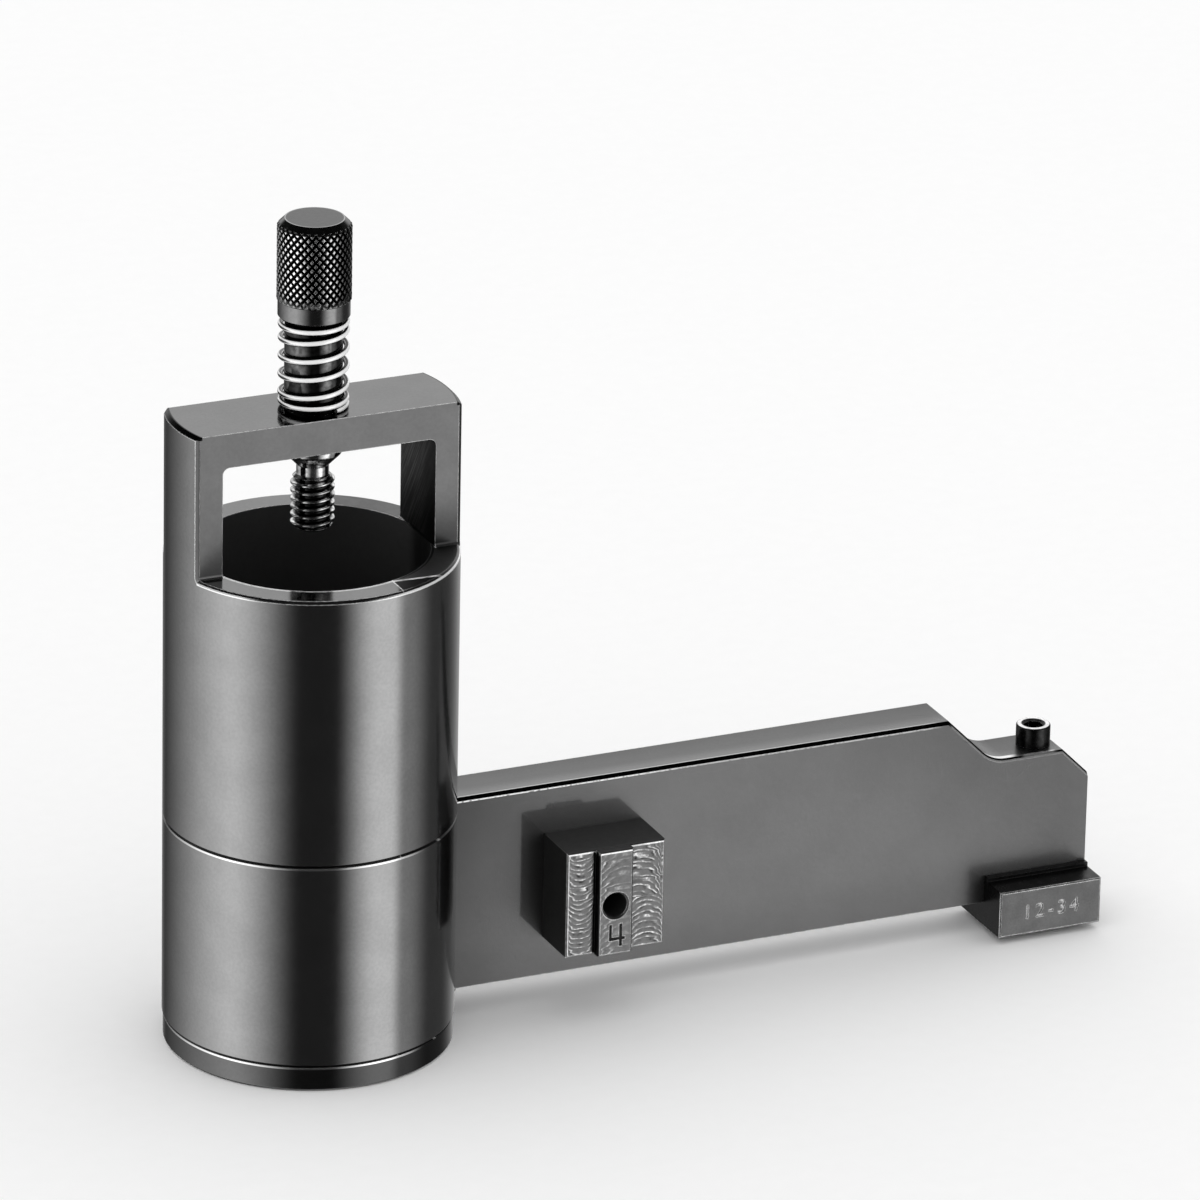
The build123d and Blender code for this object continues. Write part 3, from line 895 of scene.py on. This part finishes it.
def gauge_finish(surface):
    """A bare milled front with cutter arcs and a dark stamped number, and blackened sides; the rib's flank
    is painted black as shade.
    """
    masks = GaugeMasks(surface)
    crest, furrow, cut = cutter_marks(surface, masks)
    relief = (crest + furrow * FURROW_SHARE) * cut
    height = relief * MARK_DEPTH + orange_peel(surface, depth=0.001)
    sides = masks.shaded_rib_side.mix(GAUGE_SIDE_TONE, BLACK)
    tone = masks.front.mix(sides, gauge_front(surface, masks, crest, furrow, cut))
    tone = tone * surface.blotches(0.9, 0.9, 1.1) * masks.sunk.mix(1.0, GAUGE_MARK_SHARE)
    wear_and_highlight = masks.sunk.mix(gauge_wear_and_highlight(surface, masks), 0.0)
    side_metallic = masks.shaded_rib_side.mix(GAUGE_SIDE_METALLIC, 1.0)
    metallic = masks.front.mix(side_metallic, GAUGE_METALLIC)
    return tone, masks.front.mix(*GAUGE_ROUGHS), height, wear_and_highlight, metallic


# Finish of the knob. The knurl's crests are bright from use, less so at its foot, and the knurl is painted
# darker to the right as shade.
KNOB_BAND_TONE = 0.21
KNOB_TOP_TONE = 0.077
KNOB_RIM_TONE = 0.4
KNOB_CHAMFER_TONE = 0.07
KNOB_ROUGHS = (0.14, 0.2)
KNOB_RING_DEPTH = 0.002
KNOB_WEAR_AND_HIGHLIGHT = 0.5
KNURL_FLANK_TONES = (0.01, 0.09)
KNURL_FOOT = (KNURL_FIRST + 0.3, KNURL_FIRST + KNURL_FADE + 1.2, 0.3, 1.0)
KNURL_RIGHT_SHADE = (1.0, 7.0, 1.0, 0.3)
KNURL_RIGHT_SHADE_LEAN = -0.45


def knurl_tone(surface, radius):
    """Bright crests over dark grooves, painted darker to the right as shade."""
    groove = radius.smooth(KNOB_R - 0.05, KNOB_R - 0.015, 1.0, 0.0)
    crest = surface.z.smooth(*KNURL_FOOT)
    flank = radius.smooth(KNOB_R - KNURL_DEPTH + 0.12, KNOB_R - 0.12, *KNURL_FLANK_TONES)
    # The knurl is painted darker to the right as shade.
    across = surface.x + surface.y * KNURL_RIGHT_SHADE_LEAN
    return groove.mix(crest, flank) * across.smooth(*KNURL_RIGHT_SHADE)


def knob_finish(surface):
    """A dark turned top with faint tool rings and a bright rim, over a knurl with crests polished by use
    and a plain band.
    """
    radius = surface.radius()
    top = surface.nz.smooth(0.9, 0.97)
    foot = (KNURL_FIRST, KNURL_FIRST + 0.2)
    knurled = between(surface.z, foot, (KNOB_SHOULDER + 0.3, KNOB_SHOULDER))
    chamfer = surface.z.smooth(KNOB_SHOULDER + 0.1, KNOB_SHOULDER + 0.3) * surface.nz.smooth(0.97, 0.9)
    flat_r = KNOB_R - KNOB_CHAMFER
    rim = top * radius.smooth(flat_r - 0.35, flat_r - 0.15)
    plain = top.mix(KNOB_BAND_TONE, rim.mix(KNOB_TOP_TONE, KNOB_RIM_TONE))
    tone = knurled.mix(plain, knurl_tone(surface, radius))
    tone = chamfer.mix(tone, KNOB_CHAMFER_TONE)
    tone = tone * surface.blotches(1.2, 0.92, 1.08)
    rough = knurled.mix(*KNOB_ROUGHS) * surface.blotches(0.8, 0.85, 1.2)
    rings = surface.graph.join(radius * 7.0, 0.0, 0.0).noise(1.0)
    height = orange_peel(surface, depth=0.001) + rings * top * KNOB_RING_DEPTH
    return tone, rough, height, knurled.mix(KNOB_WEAR_AND_HIGHLIGHT, 0.0)


# Finish of the shank, polished where it slides first, then bare
SHANK_TONE = 0.13
SHANK_ROUGHS = (0.05, 0.12)
SHANK_SHADE = (0.55, 0.92, 0.03, 1.0)
SHANK_SHADE_REACH = 2.3
SHANK_RING_DEPTH = 0.002
SHANK_WEAR_AND_HIGHLIGHT = 0.5
NECK_TONE = 0.5
THREAD_START_Z = (NECK_END - 0.4, NECK_END - 0.9)
# The thread's roots are painted dark as shade, and its crests lighter.
THREAD_ROOT_SHADE_TONES = (THREAD_R - 0.8, THREAD_R - 0.3, 0.03, 0.6)


def shank_finish(surface):
    """Dark and polished where it slides in the bridge, with shade painted near the coils, and bare bright
    steel on the neck and thread.
    """
    bare = surface.z.smooth(GROOVE_TOP + 1.0, GROOVE_BOTTOM)
    # An occlusion node paints shade on the shank near the coils.
    shade = surface.graph.node("ShaderNodeAmbientOcclusion", samples=8)
    shade.inputs["Distance"].default_value = SHANK_SHADE_REACH * MM
    sliding_with_shade = surface.graph.value(shade, "AO").smooth(*SHANK_SHADE) * SHANK_TONE
    threaded = surface.z.smooth(*THREAD_START_Z)
    turned = threaded.mix(NECK_TONE, surface.radius().smooth(*THREAD_ROOT_SHADE_TONES))
    tone = bare.mix(sliding_with_shade, turned) * surface.blotches(0.8, 0.6, 1.5)
    rough = bare.mix(*SHANK_ROUGHS) * surface.blotches(0.9, 0.8, 1.25)
    rings = surface.graph.join(0.0, 0.0, surface.z * 7.0).noise(1.0)
    height = orange_peel(surface, depth=0.0012) + rings * SHANK_RING_DEPTH
    return tone, rough, height, SHANK_WEAR_AND_HIGHLIGHT


# Finishes of the small steel: dark, then bright, where there are two
WIRE_SHADE_AND_HIGHLIGHT_TONES = (0.05, 1.0)
WIRE_METALLICS = (0.9, 0.15)
WIRE_ROUGH = 0.12
SCREW_TONES = (0.035, 0.95)
SCREW_ROUGHS = (0.26, 0.2)
SCREW_FACING = (0.85, 0.97)
DOWEL_TONE = 0.45
DOWEL_ROUGH = 0.12
WELD_TONE = 0.17
WELD_ROUGH = 0.3
SMALL_WEAR_AND_HIGHLIGHT = 0.6
WELD_WEAR_AND_HIGHLIGHT = 0.5


def spring_finish(surface):
    """Wire painted white on its outside as a highlight; above and below, where the coils meet, and on its
    side facing -X, it is painted dark as shade.
    """
    # Where the wire is painted white as a highlight.
    outside = (
        surface.nz.smooth(0.93, 0.8)
        * surface.nz.smooth(-0.68, -0.5)
        * surface.nx.smooth(-0.97, -0.85)
    )
    tone = outside.mix(*WIRE_SHADE_AND_HIGHLIGHT_TONES) * surface.blotches(0.8, 0.97, 1.02)
    rough = WIRE_ROUGH * surface.blotches(1.4, 0.85, 1.2)
    return tone, rough, orange_peel(surface, FINE_POLISH), 0.0, outside.mix(*WIRE_METALLICS)


def screw_finish(facing, along, end):
    """Black oxide, with the face ground bright that looks along an axis and lies at end on it, in mm."""

    def build(surface):
        faced = (
            getattr(surface, facing).smooth(*SCREW_FACING)
            * getattr(surface, along).smooth(end - 0.25, end - 0.05)
        )
        tone = faced.mix(*SCREW_TONES) * surface.blotches(1.0, 0.75, 1.15)
        rough = faced.mix(*SCREW_ROUGHS) * surface.blotches(1.2, 0.8, 1.25)
        return tone, rough, orange_peel(surface, depth=0.003), SMALL_WEAR_AND_HIGHLIGHT

    return build


def dowel_finish(surface):
    tone = DOWEL_TONE * surface.blotches(1.0, 0.92, 1.05)
    rough = DOWEL_ROUGH * surface.blotches(1.2, 0.8, 1.25)
    return tone, rough, orange_peel(surface, depth=0.0008), SMALL_WEAR_AND_HIGHLIGHT


def weld_finish(surface):
    """Ground-back filler metal with a heat-dulled skin."""
    tone = WELD_TONE * surface.blotches(0.9, 0.8, 1.25)
    rough = WELD_ROUGH * surface.blotches(1.2, 0.8, 1.25)
    return tone, rough, orange_peel(surface, depth=0.003), WELD_WEAR_AND_HIGHLIGHT


# Pieces


def knurl_height(turns, level):
    """How far up its diamond a point lies, from 0 in a groove to 1 on the crest."""
    share = 1.0
    for phase in (turns + level, turns - level):
        share = min(share, 2 * abs(phase - floor(phase + 0.5)))
    return min(share / KNURL_FLAT, 1.0)


def knurl_ring(row, columns, step):
    """One level of the knob above its band, cut into diamonds and held inside the top chamfer."""
    z = KNURL_FIRST + row * step
    limit = KNOB_R - max(z - KNOB_SHOULDER, 0.0)
    fade = ramp(z, KNURL_FIRST - KNURL_RUN_IN, KNURL_FIRST + KNURL_FADE)
    ring = []
    for column in range(columns):
        crest = knurl_height(column / KNURL_STEPS, row / KNURL_STEPS)
        radius = min(KNOB_R - KNURL_DEPTH * fade * (1 - crest), limit)
        angle = tau * column / columns
        ring.append((radius * cos(angle), radius * sin(angle), z))
    return ring


def make_knob(material):
    columns = KNURL_STARTS * KNURL_STEPS
    step = (KNOB_TOP - KNURL_FIRST) / KNURL_ROWS
    rings = [
        circle(SHANK_R, KNOB_BOTTOM, columns),
        circle(BAND_R - BAND_EDGE, KNOB_BOTTOM, columns),
        circle(BAND_R, KNOB_BOTTOM + BAND_EDGE, columns),
        circle(BAND_R, BAND_TOP, columns),
    ]
    first_row = len(rings)
    rings += [knurl_ring(row, columns, step) for row in range(KNURL_ROWS + 1)]

    def crease(column, row):
        level = row - first_row
        if level < 0:
            return 0
        return 1 if (column - level) % KNURL_STEPS == 0 else 2

    points, faces = skin(rings, crease)
    knob = new_piece("plunger_knob", points, faces, material, sharp=24.0)
    return knob


def make_shank(material):
    edge = 0.12
    corner = 0.1
    overlap = 0.6
    profile = [
        (NECK_R - overlap, NECK_END - 2 * overlap),
        (NECK_R, NECK_END - overlap),
        (NECK_R, NECK_START - corner),
        (NECK_R + corner, NECK_START + corner / 5),
        (SHANK_R - edge, SHANK_END - edge),
        (SHANK_R, SHANK_END + edge),
        (SHANK_R, GROOVE_BOTTOM - edge),
        (SHANK_R - edge, GROOVE_BOTTOM),
        (GROOVE_R, GROOVE_BOTTOM),
        (GROOVE_R, GROOVE_TOP),
        (SHANK_R - edge, GROOVE_TOP),
        (SHANK_R, GROOVE_TOP + edge),
        (SHANK_R, KNOB_BOTTOM),
        (SHANK_R - edge, KNOB_BOTTOM + edge),
    ]
    points, faces = skin(lathe(profile, SHANK_COLUMNS))
    shank = new_piece("plunger_shank", points, faces, material)
    return shank


def thread_radius(z, turns):
    """Radius of the V thread at a height and a share of a turn, with rounded crests and roots."""
    phase = (z / THREAD_PITCH - turns - THREAD_PHASE) % 1.0
    flank = ramp(abs(phase - 0.5) * 2, THREAD_CREST, 1 - THREAD_CREST)
    rounded = flank * flank * (3 - 2 * flank)
    return THREAD_R - THREAD_DEPTH * (rounded * 0.5 + flank * 0.5)


def make_thread(material):
    """A right-hand thread, chamfered at its tip and run out at its top."""
    rings = []
    for row in range(THREAD_ROWS + 1):
        z = THREAD_TIP + (NECK_END - THREAD_TIP) * row / THREAD_ROWS
        tip_limit = THREAD_R - THREAD_TIP_CHAMFER + (z - THREAD_TIP)
        top_limit = NECK_R + (NECK_END - z)
        ring = []
        for column in range(SHANK_COLUMNS):
            turns = column / SHANK_COLUMNS
            radius = min(thread_radius(z, turns), tip_limit, top_limit)
            ring.append((radius * cos(tau * turns), radius * sin(tau * turns), z))
        rings.append(ring)
    points, faces = skin(rings)
    thread = new_piece("plunger_thread", points, faces, material, sharp=50.0)
    return thread


def coil_pitch(turn):
    """Rise per turn: closed at both ends, open between."""
    opening = ramp(turn, LOWER_END_TURNS, LOWER_END_TURNS + LOWER_RAMP)
    closing = ramp(turn, UPPER_RAMP_START, UPPER_RAMP_START + UPPER_RAMP)
    return END_PITCH + (OPEN_PITCH - END_PITCH) * min(opening, 1 - closing)


def coil_heights():
    """Height of the wire's middle at each step of the coil."""
    steps = round(SPRING_TURNS * SPRING_STEPS)
    rises = [coil_pitch((step + 0.5) / SPRING_STEPS) / SPRING_STEPS for step in range(steps)]
    scale = (SPRING_TOP - BRIDGE_TOP - 2 * WIRE_R) / sum(rises)
    heights = [BRIDGE_TOP + WIRE_R]
    for rise in rises:
        heights.append(heights[-1] + rise * scale)
    return heights


def make_spring(material):
    heights = coil_heights()
    last = len(heights) - 1
    rings = []
    for step, height in enumerate(heights):
        angle = radians(SPRING_START) + tau * step / SPRING_STEPS
        outward = Vector((cos(angle), sin(angle), 0))
        before = heights[max(step - 1, 0)]
        after = heights[min(step + 1, last)]
        slope = (after - before) / (2 * tau * COIL_R / SPRING_STEPS)
        along = Vector((-sin(angle), cos(angle), slope)).normalized()
        upward = outward.cross(along)
        middle = outward * COIL_R + Vector((0, 0, height))
        wire = WIRE_R * (WIRE_END_SHARE if step in (0, last) else 1.0)
        ring = []
        for side in range(WIRE_SIDES):
            spin = tau * side / WIRE_SIDES
            ring.append(middle + outward * (wire * cos(spin)) + upward * (wire * sin(spin)))
        rings.append(ring)
    points, faces = skin(rings)
    spring = new_piece("spring_coil", points, faces, material, sharp=60.0)
    return spring


def weld_path():
    """Points of the bead with its radius: down the front, under the arm and up the back."""
    front_x = sqrt(BARREL_R**2 - ARM_FRONT**2)
    back_x = sqrt(BARREL_R**2 - ARM_BACK**2)
    path = []
    for step in range(WELD_ROWS):
        path.append((front_x, ARM_FRONT, ARM_TOP - 1.0 - WELD_STEP * step, WELD_HAIRLINE))
    for step in range(1, WELD_ROWS + 1):
        y = ARM_FRONT + (ARM_BACK - ARM_FRONT) * step / (WELD_ROWS + 1)
        x = sqrt(BARREL_R**2 - y**2) + WELD_OUT
        path.append((x, y, ARM_FOOT - WELD_DROP, WELD_R))
    for step in range(WELD_ROWS):
        path.append((back_x, ARM_BACK, ARM_FOOT + 1.0 - WELD_DROP + WELD_STEP * step, WELD_HAIRLINE))
    dense = []
    for here, there in zip(path, path[1:]):
        for part in range(WELD_PARTS):
            dense.append([a + (b - a) * part / WELD_PARTS for a, b in zip(here, there)])
    dense.append(list(path[-1]))
    return dense


def make_weld(material):
    """A small rippled bead: hairline up both sides of the arm's root, and fuller under it."""
    path = weld_path()
    rings = []
    for index, (x, y, z, size) in enumerate(path):
        before = Vector(path[max(index - WELD_SPAN, 0)][:3])
        after = Vector(path[min(index + WELD_SPAN, len(path) - 1)][:3])
        along = (after - before).normalized()
        outward = Vector((x, y, 0)).normalized()
        outward = (outward - along * outward.dot(along)).normalized()
        upward = along.cross(outward)
        ripple = 1.0 + sum(depth * sin(tau * index / length) for depth, length in WELD_RIPPLES)
        ring = []
        for side in range(WELD_SIDES):
            spin = tau * side / WELD_SIDES
            offset = outward * cos(spin) + upward * sin(spin)
            ring.append(Vector((x, y, z)) + offset * (size * ripple))
        rings.append(ring)
    points, faces = skin(rings)
    weld = new_piece("arm_weld_bead", points, faces, material, sharp=70.0)
    return weld


def hexagon_radius(angle, flats):
    """Distance from the middle of a hexagonal socket to its wall."""
    return flats / 2 / cos((angle + pi / 6) % (pi / 3) - pi / 6)


def socket_screw_rings(head, shank):
    """Rings of a cap screw that stands on the origin: shank, head, rounded rim and hexagonal socket."""
    head_r, head_h, flats, socket_depth = head
    shank_r, shank_length = shank
    mouth_r = flats * SCREW_MOUTH_SHARE
    mouth_z = head_h - SCREW_MOUTH_BEVEL
    profile = [
        (shank_r - SCREW_TIP, -shank_length),
        (shank_r, SCREW_TIP - shank_length),
        (shank_r, 0.0),
        (head_r - SCREW_SEAT_EDGE, 0.0),
        (head_r, SCREW_SEAT_EDGE),
        (head_r, head_h - SCREW_RIM),
    ]
    rings = lathe(profile, SCREW_COLUMNS)
    for step in range(1, SCREW_RIM_STEPS + 1):
        turn = pi / 2 * step / SCREW_RIM_STEPS
        radius = head_r - SCREW_RIM * (1 - cos(turn))
        rings.append(circle(radius, head_h - SCREW_RIM * (1 - sin(turn)), SCREW_COLUMNS))
    rings.append(circle(mouth_r + 0.08, head_h, SCREW_COLUMNS))
    rings.append(circle(mouth_r, mouth_z, SCREW_COLUMNS))
    angles = [tau * column / SCREW_COLUMNS for column in range(SCREW_COLUMNS)]
    walls = [hexagon_radius(angle, flats) for angle in angles]
    for z in (mouth_z - (mouth_r - flats / 2) * 0.5, head_h - socket_depth):
        rings.append([(wall * cos(angle), wall * sin(angle), z) for wall, angle in zip(walls, angles)])
    return rings


def make_socket_screw(name, material, seat, along_y, head, shank):
    """A socket head cap screw. Its head stands on the seat, along +Y or else +Z."""
    points, faces = skin(socket_screw_rings(head, shank))
    if along_y:
        points = [(x, z, -y) for x, y, z in points]
    points = [tuple(a + b for a, b in zip(point, seat)) for point in points]
    screw = new_piece(name, points, faces, material)
    return screw


def box_mesh(low, high):
    """Points and faces of an upright box."""
    xs, ys, zs = zip(low, high)
    points = [(x, y, z) for z in zs for y in ys for x in xs]
    faces = [(0, 2, 3, 1), (4, 5, 7, 6), (0, 1, 5, 4), (2, 6, 7, 3), (0, 4, 6, 2), (1, 3, 7, 5)]
    return points, faces


def welded_copy(node_name):
    """A packed block as a new object whose faces share their corners."""
    name = f"{node_name}_marked"
    welded = bmesh.new()
    welded.from_mesh(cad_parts[node_name].data)
    bmesh.ops.remove_doubles(welded, verts=welded.verts, dist=BLOCK_WELD * MM)
    mesh = bpy.data.meshes.new(name)
    welded.to_mesh(mesh)
    welded.free()
    block = bpy.data.objects.new(name, mesh)
    bpy.context.scene.collection.objects.link(block)
    return block


def stamped_copy(node_name, cutters, material):
    """A packed block as one welded mesh, with the cutters sunk into it."""
    block = welded_copy(node_name)
    for cutter in cutters:
        cut = block.modifiers.new(cutter.name, "BOOLEAN")
        cut.operation = "DIFFERENCE"
        cut.object = cutter
    bpy.context.view_layer.update()
    shown = block.evaluated_get(bpy.context.evaluated_depsgraph_get())
    mesh = bpy.data.meshes.new_from_object(shown)
    block.modifiers.clear()
    block.data = mesh
    for cutter in cutters:
        bpy.data.objects.remove(cutter)
    if "custom_normal" in mesh.attributes:
        mesh.attributes.remove(mesh.attributes["custom_normal"])
    mesh.polygons.foreach_set("use_smooth", [True] * len(mesh.polygons))
    mesh.set_sharp_from_angle(angle=radians(SHARP_DEGREES))
    mesh.materials.clear()
    mesh.materials.append(material)
    return block


def make_gauge_block(material):
    """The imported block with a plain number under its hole, in place of the marking that isn't copied."""
    cutters = []
    for index, (left, foot, right, head) in enumerate(GAUGE_NUMBER_STROKES):
        low = (left, RIB_FACE - STAMP_CLEAR, foot)
        high = (right, RIB_FACE + STAMP_DEPTH, head)
        cutters.append(new_piece(f"stroke_{index}", *box_mesh(low, high), material))
    return stamped_copy("gauge_block", cutters, material)


def number_cutter():
    """The end block's numbers as a closed solid that stands in its front."""
    words = bpy.data.curves.new("end_numbers", "FONT")
    words.body = END_NUMBERS
    words.size = END_NUMBERS_SIZE * MM
    words.space_character = END_NUMBERS_SPACING
    words.align_x = "CENTER"
    words.align_y = "CENTER"
    words.extrude = STAMP_DEPTH * MM
    writing = bpy.data.objects.new("end_numbers", words)
    bpy.context.scene.collection.objects.link(writing)
    bpy.context.view_layer.update()
    shown = writing.evaluated_get(bpy.context.evaluated_depsgraph_get())
    mesh = bpy.data.meshes.new_from_object(shown)
    bpy.data.objects.remove(writing)
    mesh.transform(Matrix.Translation(Vector(END_NUMBERS_PLACE) * MM) @ Matrix.Rotation(pi / 2, 4, "X"))
    closed = bmesh.new()
    closed.from_mesh(mesh)
    bmesh.ops.remove_doubles(closed, verts=closed.verts, dist=NUMBER_WELD * MM)
    closed.to_mesh(mesh)
    closed.free()
    cutter = bpy.data.objects.new("end_numbers_cutter", mesh)
    bpy.context.scene.collection.objects.link(cutter)
    return cutter


def make_end_block(material):
    """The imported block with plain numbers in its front, in place of the marking that isn't copied."""
    return stamped_copy("end_block", [number_cutter()], material)


# Studio


# The studio as steel sees it, in degrees around and above: a fade's start and end, and its light there
LEFT_BOX_RISE = (-164.0, -55.0)
LEFT_BOX_SLOPE = (-150.0, -50.0, 0.64, 1.0)
LEFT_BOX_FALL = (-66.0, -5.0, 1.0, 0.0)
RIGHT_BOX_RISE = (21.0, 58.0)
RIGHT_BOX_STEP = (69.0, 81.0, 1.0, 0.3)
RIGHT_BOX_FALL = (84.0, 112.0, 1.0, 0.12)
REAR_RIGHT_GLOW = (130.0, 172.0, 0.0, 0.35)
REAR_LEFT_GLOW = (-150.0, -178.0, 0.0, 0.3)
LOW_GLOW = 0.035
UPPER_LEFT_RISE = (-125.0, -105.0)
UPPER_GLOW = 0.05
EYE_LEVEL = (0.0, 10.0)
BOX_TOPS = (26.0, 38.0)
ABOVE_BOXES = 0.03
BACKDROP_EDGE = (138.0, 150.0)
BACKDROP_WIDENS = (36.0, 58.0, 0.0, 40.0)
BACKDROP_FOOT = (-8.0, 4.0)
BACKDROP_LIGHT = (42.0, 60.0, 1.0, 0.6)
CEILING_EDGE = (72.0, 82.0)
CEILING_LIGHT = 0.5


def directions(graph):
    """Degrees around from the camera's side, rightward positive, and degrees above eye level."""
    direction = graph.value(graph.node("ShaderNodeTexCoord"), "Generated")
    azimuth = radians(CAMERA_AZIMUTH)
    towards = (sin(azimuth), -cos(azimuth), 0.0)
    rightward = (cos(azimuth), sin(azimuth), 0.0)
    ahead = direction.vector("DOT_PRODUCT", towards)
    right = direction.vector("DOT_PRODUCT", rightward)
    around = right.math("ARCTAN2", ahead) * (180 / pi)
    height = direction.split()[2].math("ARCSINE") * (180 / pi)
    return around, height


def studio_light(graph):
    """What polished steel sees: soft boxes beside the camera, a white backdrop, and dark between."""
    around, height = directions(graph)
    left_box = (
        around.smooth(*LEFT_BOX_RISE)
        * around.smooth(*LEFT_BOX_SLOPE)
        * around.smooth(*LEFT_BOX_FALL)
        * BOX_LIGHT
    )
    right_box = (
        around.smooth(*RIGHT_BOX_RISE)
        * around.smooth(*RIGHT_BOX_STEP)
        * around.smooth(*RIGHT_BOX_FALL)
        * BOX_LIGHT
    )
    rear = around.smooth(*REAR_RIGHT_GLOW) + around.smooth(*REAR_LEFT_GLOW)
    low = left_box + right_box + rear + LOW_GLOW
    upper_left = left_box * around.smooth(*UPPER_LEFT_RISE)
    upper = (right_box + upper_left) * UPPER_LIGHT + UPPER_GLOW
    boxes = height.smooth(*EYE_LEVEL).mix(low, upper)
    sides = height.smooth(*BOX_TOPS).mix(boxes, ABOVE_BOXES)

    away = abs(around) + height.smooth(*BACKDROP_WIDENS)
    backdrop = away.smooth(*BACKDROP_EDGE) * height.smooth(*BACKDROP_FOOT)
    walls = backdrop.mix(sides, height.smooth(*BACKDROP_LIGHT))
    return height.smooth(*CEILING_EDGE).mix(walls, CEILING_LIGHT)


def make_world():
    world = bpy.data.worlds.new("studio")
    bpy.context.scene.world = world
    world.use_nodes = True
    graph = Graph(world.node_tree)
    paths = graph.node("ShaderNodeLightPath")
    light = graph.value(paths, "Is Glossy Ray").mix(1.0, studio_light(graph))
    background = graph.node("ShaderNodeBackground")
    graph.put(background.inputs["Color"], light)
    output = graph.node("ShaderNodeOutputWorld")
    graph.put(output.inputs["Surface"], graph.value(background))
    world.cycles.sampling_method = "NONE"


def make_floor():
    reach = FLOOR_REACH
    corners = [(-reach, -reach, 0), (reach, -reach, 0), (reach, reach, 0), (-reach, reach, 0)]
    material = bpy.data.materials.new("floor_paper")
    material.use_nodes = True
    graph = Graph(material.node_tree)
    coordinates = graph.node("ShaderNodeTexCoord")
    shader = graph.node("ShaderNodeBsdfPrincipled")
    grain = graph.value(coordinates, "Object").noise(FLOOR_GRAIN)
    graph.put(shader.inputs["Base Color"], grain.smooth(0.2, 0.8, *FLOOR_TONES))
    shader.inputs["Roughness"].default_value = 1.0
    shader.inputs["Specular IOR Level"].default_value = 0.0
    output = graph.node("ShaderNodeOutputMaterial")
    graph.put(output.inputs["Surface"], graph.value(shader, "BSDF"))
    sheet = new_piece("studio_floor", corners, [(0, 1, 2, 3)], material)
    sheet.visible_glossy = False


def make_camera():
    azimuth, elevation, roll = map(radians, (CAMERA_AZIMUTH, CAMERA_ELEVATION, CAMERA_ROLL))
    back = Vector((sin(azimuth) * cos(elevation), -cos(azimuth) * cos(elevation), sin(elevation)))
    level = Vector((cos(azimuth), sin(azimuth), 0))
    upright = back.cross(level)
    right = level * cos(roll) + upright * sin(roll)
    up = upright * cos(roll) - level * sin(roll)
    data = bpy.data.cameras.new("camera")
    data.lens = CAMERA_LENS
    data.sensor_width = CAMERA_SENSOR
    data.clip_end = CAMERA_REACH
    camera = bpy.data.objects.new("camera", data)
    bpy.context.scene.collection.objects.link(camera)
    turn = Matrix((right, up, back)).transposed().to_4x4()
    camera.matrix_world = Matrix.Translation(CAMERA_PLACE) @ turn
    bpy.context.scene.camera = camera


def dress(node_name, material):
    """Gives a carried-over CAD node its finish."""
    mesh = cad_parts[node_name].data
    mesh.materials.clear()
    mesh.materials.append(material)


make_camera()
make_world()
make_floor()
bpy.context.scene.view_settings.view_transform = "Standard"

body_steel = metal("body_steel", body_finish, edge=0.28)
knob_steel = metal("knob_steel", knob_finish, edge=0.04)
shank_steel = metal("shank_steel", shank_finish, edge=0.1)

for name in ("upper_body", "arm_collar", "base_ring"):
    dress(name, body_steel)
dress("arm", metal("arm_steel", arm_finish))
dowel_steel = metal("dowel_steel", dowel_finish)
for name in ("seam_dowels", "gauge_block_dowels", "retaining_ring"):
    dress(name, dowel_steel)

end_top = END_SCREW_SEAT[2] + END_HEAD[1]
end_screw_steel = metal("end_screw_steel", screw_finish("nz", "z", end_top), edge=0.24, worn_highlight_tone=0.5)
end_screw = make_socket_screw("end_cap_screw", end_screw_steel, END_SCREW_SEAT, False, END_HEAD, END_SHANK)
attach(end_screw, "body")
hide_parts("end_block_screw")

block_top = BLOCK_SCREW_SEATS[0][1] + BLOCK_HEAD[1]
block_screw_steel = metal("block_screw_steel", screw_finish("ny", "y", block_top), edge=0.24, worn_highlight_tone=0.5)
for index, seat in enumerate(BLOCK_SCREW_SEATS, 1):
    screw_name = f"block_cap_screw_{index}"
    block_screw = make_socket_screw(screw_name, block_screw_steel, seat, True, BLOCK_HEAD, BLOCK_SHANK)
    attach(block_screw, "body")
    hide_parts("gauge_block_screws")

for piece in (make_knob(knob_steel), make_shank(shank_steel), make_thread(shank_steel)):
    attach(piece, "screw")
    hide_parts("plunger_screw")

weld = make_weld(metal("weld_steel", weld_finish))
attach(weld, "body")
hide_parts("arm_weld")

gauge_block = make_gauge_block(metal("gauge_steel", gauge_finish))
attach(gauge_block, "body")
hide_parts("gauge_block")

end_block = make_end_block(metal("end_steel", end_finish))
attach(end_block, "body")
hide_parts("end_block")

spring = make_spring(metal("spring_steel", spring_finish, edge=0.03))
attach(spring, "body")
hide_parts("spring")
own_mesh(spring)
